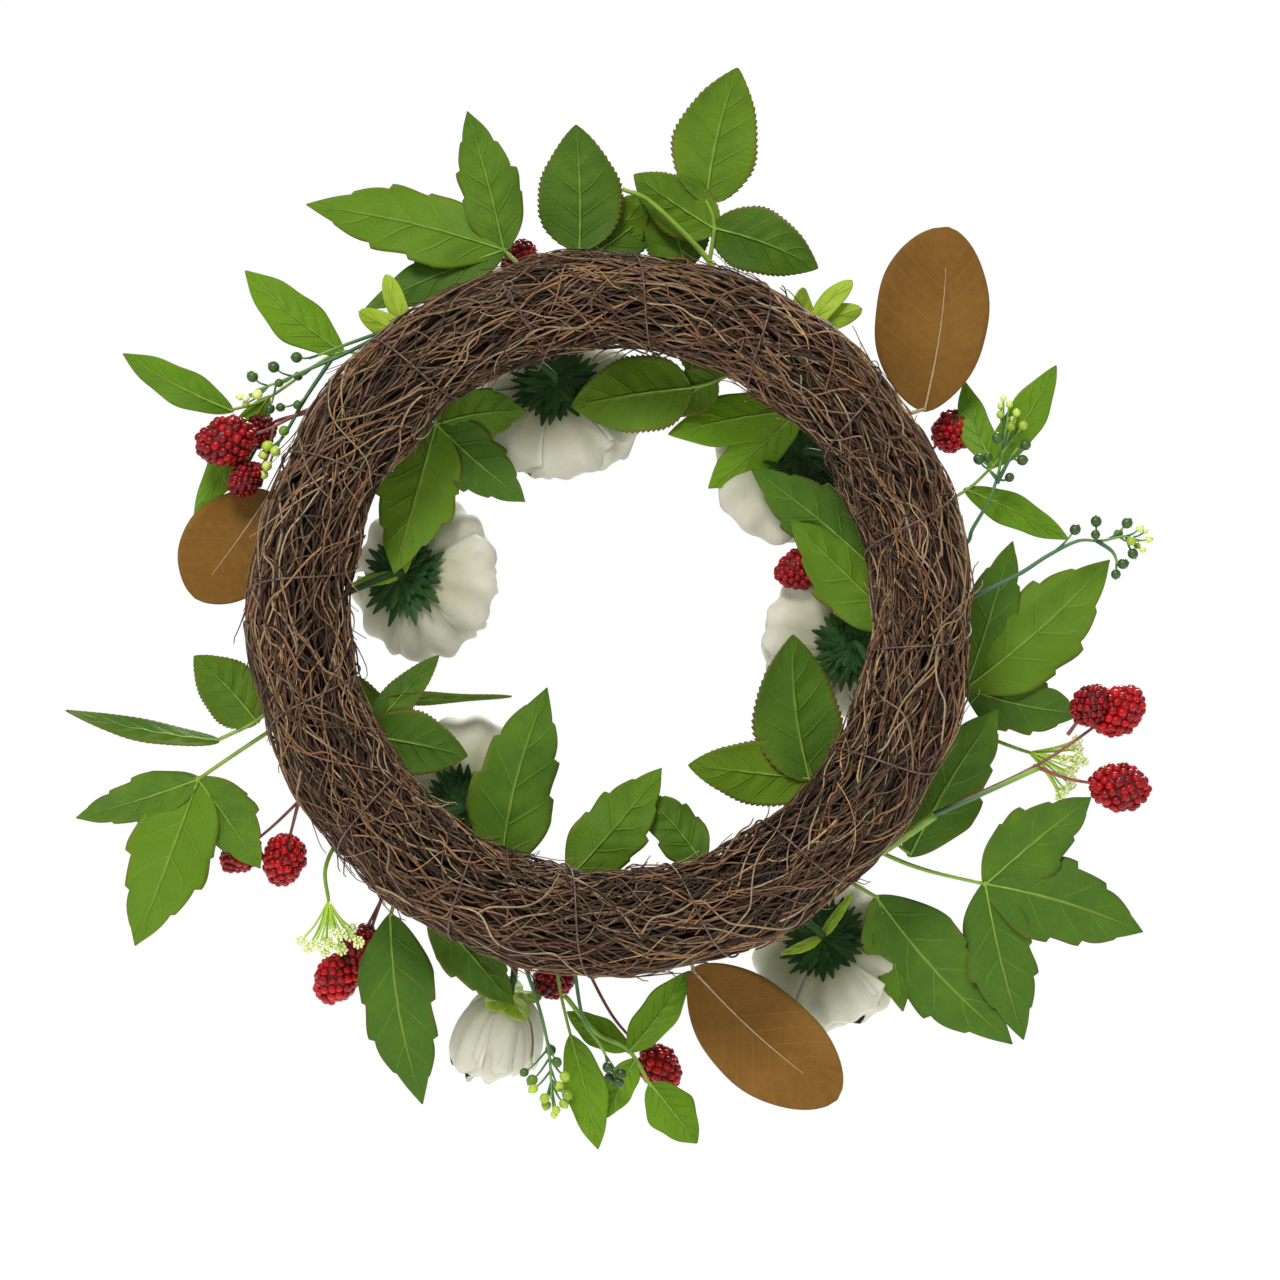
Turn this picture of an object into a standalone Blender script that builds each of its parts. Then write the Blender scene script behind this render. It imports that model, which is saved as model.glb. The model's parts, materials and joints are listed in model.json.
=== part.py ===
"""Harvest door wreath: a twig ring bound with wire, dressed with wired picks of leaves,
peonies, raspberries, green berries and lace flowers.

Metres, +Z up. The wreath hangs in the XZ plane. Its flowers face -Y and its bare twig back
faces +Y. The origin is the hook seat, the inside of the ring's top, where a door hook holds it.
Places round the ring are (clock, reach, depth): degrees clockwise from the top as seen from
the front, millimetres from the ring's centre, and millimetres in front of its middle plane.
"""
import math

import bmesh
import bpy
from mathutils import Matrix, Vector

MM = 0.001

# twig ring
RING_R = 156.0            # centre line of the bundle
BUNDLE_R = 26.0           # half the thickness of the bundle
STRAND_R = 9.0
STRAND_COUNT = 5
STRAND_TWISTS = 2
STRAND_POINTS = 36
CORE_R = 2.0

# binding wire and its eye
WIRE_R = 0.7
WIRE_WRAPS = 16
WIRE_POINTS_PER_WRAP = 14
WIRE_PATH_R = 27.9        # wire's centre line, measured from the bundle's centre line
WIRE_BACK_LEAD = 7.0      # degrees that each wrap holds back as it crosses the bare side
WIRE_TUCK_POINTS = 3      # points short of a last full wrap, where the wire's end is tucked in
EYE_CLOCK = 17.5
EYE_R = 2.5               # centre line of the eye
EYE_LEAN = 28.0           # degrees by which the eye leans in towards the twigs
EYE_POINTS = 14
NECK_OFFSET = 9.5         # the eye's neck, outwards of the bundle's centre line
NECK_DEPTH = -28.6
NECK_GAP = 1.1            # room for the eye to fold up off the end of the binding wire

# picks
BLADE_THICKNESS = 0.8
BLADE_ROOT = 1.5          # how far a blade's foot reaches into its stem
STEM_R = 1.2
THIN_STEM = 0             # bevel resolution of thin stems
ROUND = 1                 # bevel resolution of berries and strands


def start_scene():
    for obj in list(bpy.data.objects):
        bpy.data.objects.remove(obj, do_unlink=True)
    collections = []
    for name in ("harvest_door_wreath", "cutters"):
        collection = bpy.data.collections.new(name)
        bpy.context.scene.collection.children.link(collection)
        collections.append(collection)
    return collections


WREATH, CUTTERS = start_scene()
RING_CENTRE = Vector((0.0, 0.0, -(RING_R - BUNDLE_R)))


def at(clock, reach, depth):
    """Point in metres from a place round the ring."""
    angle = math.radians(clock)
    offset = Vector((reach * math.sin(angle), -depth, reach * math.cos(angle)))
    return (RING_CENTRE + offset) * MM


def material(name, colour, roughness, metallic=0.0):
    made = bpy.data.materials.get(name) or bpy.data.materials.new(name)
    made.use_nodes = True
    shader = made.node_tree.nodes["Principled BSDF"]
    shader.inputs["Base Color"].default_value = (*colour, 1.0)
    shader.inputs["Roughness"].default_value = roughness
    shader.inputs["Metallic"].default_value = metallic
    return made


TWIG = material("twig", (0.10, 0.045, 0.025), 0.8)
WIRE = material("binding_wire", (0.16, 0.09, 0.08), 0.45, 0.9)
STEEL = material("core_wire", (0.35, 0.35, 0.36), 0.4, 1.0)
GREEN_LEAF = material("green_leaf", (0.10, 0.26, 0.03), 0.55)
SMOOTH_LEAF = material("smooth_leaf", (0.13, 0.33, 0.02), 0.5)
MAGNOLIA_LEAF = material("magnolia_leaf", (0.22, 0.10, 0.03), 0.85)
PETAL = material("petal", (0.76, 0.73, 0.62), 0.75)
CALYX = material("calyx", (0.03, 0.10, 0.03), 0.6)
RASPBERRY = material("raspberry", (0.33, 0.005, 0.012), 0.25)
GREEN_BERRY = material("green_berry", (0.06, 0.14, 0.03), 0.35)
LACE = material("lace_flower", (0.55, 0.68, 0.25), 0.6)


def finish(obj, name, look, collection=WREATH):
    obj.name = name
    obj.data.name = name
    obj.data.materials.clear()
    obj.data.materials.append(look)
    for holder in list(obj.users_collection):
        holder.objects.unlink(obj)
    collection.objects.link(obj)
    return obj


def tube(name, points, radius, look, swell=None, cyclic=False, resolution=ROUND):
    """Round bar along points in metres; swell scales its radius at each point."""
    curve = bpy.data.curves.new(name, "CURVE")
    curve.dimensions = "3D"
    curve.bevel_depth = radius * MM
    curve.bevel_resolution = resolution
    curve.use_fill_caps = True
    spline = curve.splines.new("POLY")
    spline.points.add(len(points) - 1)
    for place, point in zip(spline.points, points):
        place.co = (*point, 1.0)
    for place, scale in zip(spline.points, swell or []):
        place.radius = scale
    spline.use_cyclic_u = cyclic
    spline.use_smooth = True
    obj = bpy.data.objects.new(name, curve)
    WREATH.objects.link(obj)
    return finish(obj, name, look)


def to_mesh(obj, collection):
    """A curve object becomes a mesh object with its caps welded."""
    bpy.context.view_layer.update()
    graph = bpy.context.evaluated_depsgraph_get()
    mesh = bpy.data.meshes.new_from_object(obj.evaluated_get(graph))
    shell = bmesh.new()
    shell.from_mesh(mesh)
    bmesh.ops.remove_doubles(shell, verts=shell.verts, dist=0.00001)
    shell.to_mesh(mesh)
    shell.free()
    made = bpy.data.objects.new("piece", mesh)
    made.matrix_world = obj.matrix_world
    collection.objects.link(made)
    name, look = obj.name, obj.data.materials[0]
    bpy.data.objects.remove(obj, do_unlink=True)
    return finish(made, name, look, collection)


def join(name, pieces):
    """One body from pieces that grow into each other."""
    body = to_mesh(pieces[0], WREATH)
    for piece in pieces[1:]:
        other = to_mesh(piece, CUTTERS)
        other.hide_render = True
        other.display_type = "WIRE"
        union = body.modifiers.new("grown_on", "BOOLEAN")
        union.operation = "UNION"
        union.object = other
    body.name = name
    return body


def put_on_pivot(obj, point):
    """A piece that moves hangs from an empty on its joint's axis."""
    pivot = bpy.data.objects.new(obj.name + "_pivot", None)
    pivot.location = point
    WREATH.objects.link(pivot)
    obj.parent = pivot
    obj.matrix_parent_inverse = Matrix.Translation(-point)


# ---- twig ring ----

def bundle_point(clock, side, offset):
    """Point on a circle round the bundle: side 0 is outwards, 90 the bare back."""
    turn = math.radians(side)
    return at(clock, RING_R + offset * math.cos(turn), -offset * math.sin(turn))


def core_hoop():
    points = [at(360.0 * i / STRAND_POINTS, RING_R, 0.0) for i in range(STRAND_POINTS)]
    tube("core_hoop", points, CORE_R, STEEL, cyclic=True)


def twig_strands():
    offset = BUNDLE_R - STRAND_R
    for strand in range(STRAND_COUNT):
        points = []
        for i in range(STRAND_POINTS):
            share = i / STRAND_POINTS
            side = 360.0 * (strand / STRAND_COUNT + STRAND_TWISTS * share)
            points.append(bundle_point(360.0 * share, side, offset))
        tube(f"twig_strand_{strand + 1}", points, STRAND_R, TWIG, cyclic=True)


def binding_wire():
    """A spiral that leaves the eye's neck, crosses the bare side and wraps all the way round."""
    neck, rise, _ = eye_frame()
    points = [neck - rise * NECK_GAP * MM]
    neck_side = math.degrees(math.acos(NECK_OFFSET / WIRE_PATH_R))
    steps = WIRE_WRAPS * WIRE_POINTS_PER_WRAP
    for i in range(1, steps - WIRE_TUCK_POINTS):
        side = neck_side + 360.0 * i / WIRE_POINTS_PER_WRAP
        held = 0.5 * WIRE_BACK_LEAD * math.cos(math.radians(side))
        points.append(bundle_point(EYE_CLOCK - 360.0 * i / steps - held, side, WIRE_PATH_R))
    tube("binding_wire", points, WIRE_R, WIRE, resolution=THIN_STEM)


def eye_frame():
    """The eye's neck, the way the eye leans, and the way round the ring."""
    neck = at(EYE_CLOCK, RING_R + NECK_OFFSET, NECK_DEPTH)
    out = (at(EYE_CLOCK, 1.0, 0.0) - at(EYE_CLOCK, 0.0, 0.0)).normalized()
    lean = math.radians(EYE_LEAN)
    rise = out * math.cos(lean) - Vector((0.0, math.sin(lean), 0.0))
    side = Vector((out.z, 0.0, -out.x))
    return neck, rise, side


def hanging_eye():
    neck, rise, side = eye_frame()
    middle = neck + rise * (EYE_R + 2.0) * MM
    points = [neck, neck + rise * 1.2 * MM]
    for i in range(EYE_POINTS):
        turn = math.radians(-150.0 + 300.0 * i / (EYE_POINTS - 1))
        points.append(middle + (rise * math.cos(turn) + side * math.sin(turn)) * EYE_R * MM)
    put_on_pivot(tube("hanging_eye", points, WIRE_R, WIRE, resolution=THIN_STEM), neck)


# ---- leaves ----

# (share of the length, share of the half width) up one side of a blade
BLADE_PROFILE = ((0.0, 0.06), (0.12, 0.52), (0.3, 0.93), (0.5, 1.0), (0.72, 0.72), (0.9, 0.28))


def blade(base, tip, width, roll):
    """Leaf blade from base to tip, turned by roll degrees about its midrib."""
    length = (tip - base).length
    half = 0.5 * width * MM
    sides = [(share * length, part * half) for share, part in BLADE_PROFILE]
    outline = sides + [(length, 0.0)] + [(x, -y) for x, y in reversed(sides)]
    curve = bpy.data.curves.new("blade", "CURVE")
    curve.dimensions = "2D"
    curve.fill_mode = "BOTH"
    curve.extrude = 0.5 * BLADE_THICKNESS * MM
    spline = curve.splines.new("POLY")
    spline.points.add(len(outline) - 1)
    for place, (x, y) in zip(spline.points, outline):
        place.co = (x, y, 0.0, 1.0)
    spline.use_cyclic_u = True
    obj = bpy.data.objects.new("blade", curve)
    run = (tip - base).normalized()
    across = run.cross(Vector((0.0, 1.0, 0.0))).normalized()
    face = run.cross(across)
    turn = Matrix((run, across, face)).transposed() @ Matrix.Rotation(math.radians(roll), 3, "X")
    obj.matrix_world = Matrix.Translation(base) @ turn.to_4x4()
    WREATH.objects.link(obj)
    return finish(obj, "blade", GREEN_LEAF)


def leaf_pick(name, stem, blades, look=GREEN_LEAF):
    """A stem through its places, and blades: the stem's place they grow from, tip, width, roll."""
    pieces = [tube("stem", [at(*place) for place in stem], STEM_R, look)]
    for foot, tip, width, roll in blades:
        end = at(*tip)
        grow = (end - at(*stem[foot])).normalized()
        pieces.append(blade(at(*stem[foot]) - grow * BLADE_ROOT * MM, end, width, roll))
    return finish(join(name, pieces), name, look)


# ---- berries and flowers ----

# (share of the radius along the stem, share of the radius across it)
BERRY_SWELL = ((-0.95, 0.30), (-0.6, 0.8), (0.0, 1.0), (0.6, 0.8), (0.95, 0.30))


def berry_branch(stem, radius, look):
    """A stem that ends in the middle of a berry, and swells into it."""
    points = [at(*place) for place in stem]
    middle = points[-1]
    run = (middle - points[-2]).normalized()
    path = points[:-1]
    swell = [STEM_R / radius] * len(path)
    for share, part in BERRY_SWELL:
        path.append(middle + run * share * radius * MM)
        swell.append(part)
    return tube("branch", path, radius, look, swell=swell)


def berry_pick(name, branches, look):
    """Branches: their places down to the berry's middle, and the berry's radius."""
    body = join(name, [berry_branch(stem, radius, look) for stem, radius in branches])
    return finish(body, name, look)


# (share of the radius, share of the radius forward of the bloom's back), from its face round to its back
FLOWER_PROFILE = ((0.0, 0.98), (0.5, 1.12), (0.9, 0.98), (1.0, 0.62), (0.8, 0.24), (0.38, 0.0), (0.0, 0.0))


def flower_head(name, place, radius):
    """Cupped bloom: a profile from its face round to its back, turned about its stem."""
    mesh = bpy.data.meshes.new(name)
    profile = [(part * radius * MM, 0.0, rise * radius * MM) for part, rise in FLOWER_PROFILE]
    mesh.from_pydata(profile, [(i, i + 1) for i in range(len(profile) - 1)], [])
    obj = bpy.data.objects.new(name, mesh)
    screw = obj.modifiers.new("turned", "SCREW")
    screw.steps = screw.render_steps = 14
    screw.use_merge_vertices = True
    screw.merge_threshold = 0.00005
    obj.matrix_world = Matrix.Translation(at(*place)) @ Matrix.Rotation(math.radians(90.0), 4, "X")
    WREATH.objects.link(obj)
    finish(obj, name, PETAL)


def flower_calyx(name, place, radius, root):
    """Stem from the ring that flares into the green cup behind a bloom."""
    clock, reach, depth = place
    cup = 0.42 * radius
    points = [at(*root), at(clock, reach, depth - 7.0), at(clock, reach, depth - 3.0), at(clock, reach, depth - 0.6)]
    swell = [2.0 / cup, 2.4 / cup, 0.7, 1.0]
    tube(name, points, cup, CALYX, swell=swell)


# ---- what the wreath is dressed with ----

def leaves():
    leaf_pick("rose_spray_top", [(344, 168, 30), (345, 201, 30), (347, 214, 30)],
              [(2, (347, 277, 24), 42, 8), (1, (357, 222, 32), 25, -12), (1, (329, 201, 30), 30, 10),
               (0, (337, 122, 54), 36, 10)])
    leaf_pick("rose_spray_top_left", [(356, 168, 36), (359, 182, 36), (0, 188, 36)],
              [(2, (4, 243, 30), 42, -8), (1, (352, 216, 46), 26, 8)])
    top_left = leaf_pick("peony_leaf_top_left", [(12, 168, 31), (14, 184, 31)],
                         [(1, (37, 252, 26), 38, 8), (1, (16, 259, 24), 30, -8), (1, (39, 196, 36), 22, 14)])
    put_on_pivot(top_left, at(12, 168, 31))
    leaf_pick("smooth_spray_upper_left", [(44, 168, 34), (46, 190, 34), (58, 205, 34), (62, 218, 32)],
              [(1, (47, 253, 28), 25, 10), (3, (62, 279, 26), 20, -10), (2, (77, 216, 38), 18, 10)],
              SMOOTH_LEAF)
    leaf_pick("magnolia_leaf_left", [(66, 168, 31), (71, 183, 31)], [(1, (88, 211, 33), 46, 5)],
              MAGNOLIA_LEAF)
    leaf_pick("rose_spray_left", [(104, 168, 31), (107, 188, 31), (108, 210, 31)],
              [(1, (96, 212, 28), 30, 10), (2, (101, 281, 26), 14, 40), (0, (112, 124, 54), 34, 8)])
    leaf_pick("peony_leaf_left", [(108, 168, 38), (110, 195, 38), (112, 226, 36)],
              [(2, (111, 290, 30), 22, 8), (2, (125, 294, 30), 42, -8), (2, (126, 220, 42), 28, 10)])
    leaf_pick("leaf_bottom_left", [(141, 168, 31), (144, 190, 31)], [(1, (159, 264, 26), 38, 8)])
    leaf_pick("smooth_spray_bottom", [(170, 168, 31), (176, 195, 31), (180, 209, 31)],
              [(2, (179, 271, 26), 23, 10), (2, (189, 272, 30), 22, -14), (1, (194, 190, 36), 22, 14),
               (0, (178, 122, 54), 24, 8)],
              SMOOTH_LEAF)
    leaf_pick("magnolia_leaf_bottom", [(192, 168, 31), (193, 186, 31)], [(1, (205, 271, 28), 52, 5)],
              MAGNOLIA_LEAF)
    leaf_pick("leaf_pair_bottom_right", [(220, 168, 38), (223, 198, 38)],
              [(1, (223, 298, 32), 44, 8), (1, (216, 250, 44), 26, -12)])
    leaf_pick("peony_leaf_bottom_right", [(227, 168, 31), (230, 200, 31), (234, 234, 30)],
              [(2, (249, 259, 25), 35, 10), (2, (239, 313, 24), 42, -8), (2, (224, 300, 27), 34, 8)])
    leaf_pick("leaf_right_low", [(231, 168, 36), (231, 195, 36)],
              [(1, (256, 201, 34), 40, 8), (0, (236, 124, 56), 36, -8)])
    leaf_pick("peony_leaf_right", [(262, 168, 42), (258, 184, 42)],
              [(1, (280, 207, 38), 30, 8), (1, (276, 254, 36), 45, -8), (1, (258, 245, 46), 30, 8)])
    leaf_pick("smooth_spray_right", [(288, 168, 31), (289, 190, 31), (291, 207, 31)],
              [(2, (299, 257, 26), 21, 10), (1, (279, 234, 34), 18, -10), (2, (303, 214, 50), 14, 8),
               (0, (283, 146, 64), 20, 8)],
              SMOOTH_LEAF)
    top_right = leaf_pick("magnolia_leaf_top_right", [(305, 168, 31), (303, 189, 31)],
                          [(1, (319, 258, 28), 58, 5)], MAGNOLIA_LEAF)
    put_on_pivot(top_right, at(305, 168, 31))


def inner_leaves():
    leaf_pick("peony_leaf_inner_left", [(38, 148, 31), (43, 130, 31)],
              [(1, (80, 111, 27), 40, 8), (1, (38, 71, 30), 30, -8), (1, (23, 111, 34), 28, 8)])
    leaf_pick("rose_spray_inner_top", [(330, 148, 31), (336, 128, 31), (341, 120, 31)],
              [(2, (11, 106, 28), 40, 8), (1, (346, 104, 34), 22, 8)])
    leaf_pick("smooth_spray_inner_top", [(316, 152, 36), (317, 140, 36)],
              [(1, (342, 94, 36), 25, 8), (1, (322, 80, 40), 22, -8)], SMOOTH_LEAF)
    leaf_pick("leaf_pair_inner_right", [(267, 146, 31), (275, 140, 31), (280, 134, 31)],
              [(0, (297, 102, 27), 36, 8), (2, (316, 102, 31), 32, -8)])
    leaf_pick("rose_spray_inner_right", [(226, 148, 31), (230, 131, 31)],
              [(1, (263, 92, 27), 44, 8), (1, (207, 86, 31), 32, -8)])
    leaf_pick("leaf_spray_inner_bottom", [(157, 144, 31), (171, 136, 31), (186, 136, 31), (200, 136, 31)],
              [(0, (140, 50, 27), 42, 8), (1, (198, 83, 30), 33, -8), (3, (189, 92, 35), 24, 8)])
    leaf_pick("leaf_spray_inner_left", [(113, 148, 31), (117, 138, 31)],
              [(1, (135, 103, 28), 30, 8), (1, (104, 90, 31), 16, -8)])


def front_leaves():
    leaf_pick("front_leaf_spray", [(46, 158, 31), (46, 158, 42)],
              [(1, (24, 176, 52), 36, 8), (1, (68, 172, 54), 36, -8)])


def flowers():
    places = (((12, 108, 46), 44, (20, 146, 28.5)), ((80, 106, 46), 46, (88, 146, 28.5)),
              ((142, 124, 50), 42, (134, 150, 28.5)), ((165, 216, 40), 23, (164, 176, 31)),
              ((213, 200, 50), 42, (210, 168, 31)), ((262, 122, 48), 42, (252, 150, 28.5)),
              ((308, 116, 52), 42, (300, 150, 28.5)))
    for number, (place, radius, root) in enumerate(places, 1):
        flower_head(f"flower_head_{number}", place, radius)
        flower_calyx(f"flower_calyx_{number}", place, radius, root)


def raspberries():
    berry_pick("raspberry_pick_left", [([(57, 188, 18), (62, 198, 18), (66, 213, 18)], 13),
                                       ([(61, 197, 18), (69, 197, 20)], 8)], RASPBERRY)
    berry_pick("raspberry_pick_lower_left", [([(120, 172, 50), (122, 200, 54), (123, 226, 58)], 9),
                                             ([(121, 186, 52), (127, 210, 62)], 10)], RASPBERRY)
    berry_pick("raspberry_pick_bottom_left", [([(140, 168, 44), (142, 200, 46), (143, 233, 48)], 11),
                                              ([(141, 185, 45), (147, 208, 50)], 12)], RASPBERRY)
    berry_pick("raspberry_pick_bottom", [([(174, 170, 50), (180, 205, 52), (186, 233, 52)], 9),
                                         ([(176, 180, 51), (171, 190, 56)], 10)], RASPBERRY)
    right = berry_pick("raspberry_pick_right", [([(222, 176, 24), (236, 190, 20), (249, 226, 18),
                                                  (259, 255, 18)], 13),
                                                ([(248, 224, 18), (251, 271, 18)], 13)], RASPBERRY)
    put_on_pivot(right, at(222, 176, 24))
    berry_pick("raspberry_pick_top_right", [([(296, 170, 50), (298, 198, 50)], 10)], RASPBERRY)
    berry_pick("raspberry_pick_top", [([(20, 168, 52), (17, 186, 56)], 9)], RASPBERRY)
    berry_pick("raspberry_pick_inner_right", [([(284, 150, 40), (283, 98, 40)], 10)], RASPBERRY)


def berry_sprigs():
    berry_pick("green_sprig_left", [([(36, 187, 22), (48, 192, 22), (59, 218, 20)], 6),
                                    ([(47, 191, 22), (53, 210, 16)], 5)], GREEN_BERRY)
    berry_pick("green_sprig_top_right", [([(283, 186, 22), (290, 206, 22), (295, 222, 22)], 6),
                                         ([(289, 203, 22), (292, 215, 14)], 5)], GREEN_BERRY)
    right = berry_pick("green_sprig_right", [([(275, 188, 22), (277, 226, 20), (278, 264, 18)], 6),
                                             ([(277, 225, 20), (275, 246, 14)], 5)], GREEN_BERRY)
    put_on_pivot(right, at(275, 188, 22))
    berry_pick("green_sprig_bottom", [([(167, 187, 20), (171, 205, 20), (172, 237, 20)], 7),
                                      ([(170, 201, 20), (177, 228, 18)], 5)], GREEN_BERRY)
    berry_pick("lace_flower_left", [([(134, 188, 20), (138, 208, 20)], 11)], LACE)
    berry_pick("lace_flower_right", [([(252, 180, 60), (251, 238, 60)], 11)], LACE)


core_hoop()
twig_strands()
binding_wire()
hanging_eye()
leaves()
inner_leaves()
front_leaves()
flowers()
raspberries()
berry_sprigs()
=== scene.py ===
"""Harvest door wreath: a wire-bound twig ring dressed with leaves, peonies and berries.

Metres, +Z up. The flowers face -Y and the bare twig back faces +Y. Places round the ring are
(clock, reach, depth): degrees clockwise from the top as seen from the front, millimetres from
the ring's centre, and millimetres in front of its middle plane.
"""

import json
import math

import bpy
import numpy as np
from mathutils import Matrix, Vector

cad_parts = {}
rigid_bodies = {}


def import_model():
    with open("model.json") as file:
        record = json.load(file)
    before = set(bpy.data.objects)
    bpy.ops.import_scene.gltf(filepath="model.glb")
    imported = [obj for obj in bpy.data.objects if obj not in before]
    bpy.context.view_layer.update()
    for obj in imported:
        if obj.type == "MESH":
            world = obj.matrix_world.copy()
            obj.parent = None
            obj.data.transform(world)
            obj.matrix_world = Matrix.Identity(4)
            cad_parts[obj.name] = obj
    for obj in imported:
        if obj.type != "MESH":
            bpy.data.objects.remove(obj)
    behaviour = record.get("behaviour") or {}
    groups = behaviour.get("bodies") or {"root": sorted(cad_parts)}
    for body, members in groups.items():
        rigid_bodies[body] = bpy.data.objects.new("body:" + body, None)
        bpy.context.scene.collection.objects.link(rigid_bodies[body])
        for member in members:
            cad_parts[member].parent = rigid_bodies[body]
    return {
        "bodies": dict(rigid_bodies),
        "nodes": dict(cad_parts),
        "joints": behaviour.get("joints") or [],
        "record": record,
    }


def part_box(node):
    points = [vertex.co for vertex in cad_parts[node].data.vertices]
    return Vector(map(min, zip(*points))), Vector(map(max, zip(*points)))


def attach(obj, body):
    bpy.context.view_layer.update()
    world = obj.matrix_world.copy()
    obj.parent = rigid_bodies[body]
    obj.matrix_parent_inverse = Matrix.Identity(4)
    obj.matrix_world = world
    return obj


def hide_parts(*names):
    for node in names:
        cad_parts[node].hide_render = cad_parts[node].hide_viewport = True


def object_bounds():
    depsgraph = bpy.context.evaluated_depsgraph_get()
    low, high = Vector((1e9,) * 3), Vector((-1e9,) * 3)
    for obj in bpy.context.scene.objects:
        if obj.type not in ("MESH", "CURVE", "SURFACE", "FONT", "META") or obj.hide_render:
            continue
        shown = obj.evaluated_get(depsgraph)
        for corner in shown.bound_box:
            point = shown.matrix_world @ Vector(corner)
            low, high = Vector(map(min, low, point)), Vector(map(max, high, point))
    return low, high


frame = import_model()
cad_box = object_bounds()

# ---- Studio ----
# A pale floor far enough below the wreath to stay out of its way, a white surround, and one
# large soft light over the camera, which looks straight at the bare back.

MM = 0.001
hoop_low, hoop_high = (np.array(corner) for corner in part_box("core_hoop"))
RING_CENTRE = 0.5 * (hoop_low + hoop_high)
HOOP_WIRE_R = 0.5 * (hoop_high[1] - hoop_low[1]) / MM
RING_R = 0.5 * (hoop_high[2] - hoop_low[2]) / MM - HOOP_WIRE_R

scene = bpy.context.scene
scene.view_settings.view_transform = "Standard"
CAMERA_DISTANCE = 2.6
FIELD = 0.64              # width of the view at the wreath
AIM = RING_CENTRE + np.array((-0.0145, 0.0, -0.014))

camera_data = bpy.data.cameras.new("camera")
camera_data.sensor_width = 36.0
camera_data.lens = camera_data.sensor_width * CAMERA_DISTANCE / FIELD
camera = bpy.data.objects.new("camera", camera_data)
camera.location = AIM + np.array((0.0, CAMERA_DISTANCE, 0.0))
camera.rotation_euler = (math.radians(90.0), 0.0, math.radians(180.0))
scene.collection.objects.link(camera)
scene.camera = camera


def soft_light(name, place, aim, size, watts):
    data = bpy.data.lights.new(name, "AREA")
    data.shape = "DISK"
    data.size = size
    data.energy = watts
    light = bpy.data.objects.new(name, data)
    light.location = place
    light.rotation_euler = (light.location - Vector(aim)).to_track_quat("Z", "Y").to_euler()
    scene.collection.objects.link(light)


soft_light("key_back", (0.5, 1.7, 1.5), AIM, 0.8, 50.0)
soft_light("key_front", (-0.5, -1.7, 1.5), AIM, 0.8, 50.0)

world = bpy.data.worlds.new("white_surround")
world.use_nodes = True
world.node_tree.nodes["Background"].inputs["Color"].default_value = (1.0, 1.0, 1.0, 1.0)
world.node_tree.nodes["Background"].inputs["Strength"].default_value = 0.62
scene.world = world
camera_ray = world.node_tree.nodes.new("ShaderNodeLightPath")
bright = world.node_tree.nodes.new("ShaderNodeBackground")
bright.inputs["Color"].default_value = (1.0, 1.0, 1.0, 1.0)
bright.inputs["Strength"].default_value = 1.0
split = world.node_tree.nodes.new("ShaderNodeMixShader")
world.node_tree.links.new(camera_ray.outputs["Is Camera Ray"], split.inputs[0])
world.node_tree.links.new(world.node_tree.nodes["Background"].outputs[0], split.inputs[1])
world.node_tree.links.new(bright.outputs[0], split.inputs[2])
world.node_tree.links.new(split.outputs[0], world.node_tree.nodes["World Output"].inputs[0])


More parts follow.
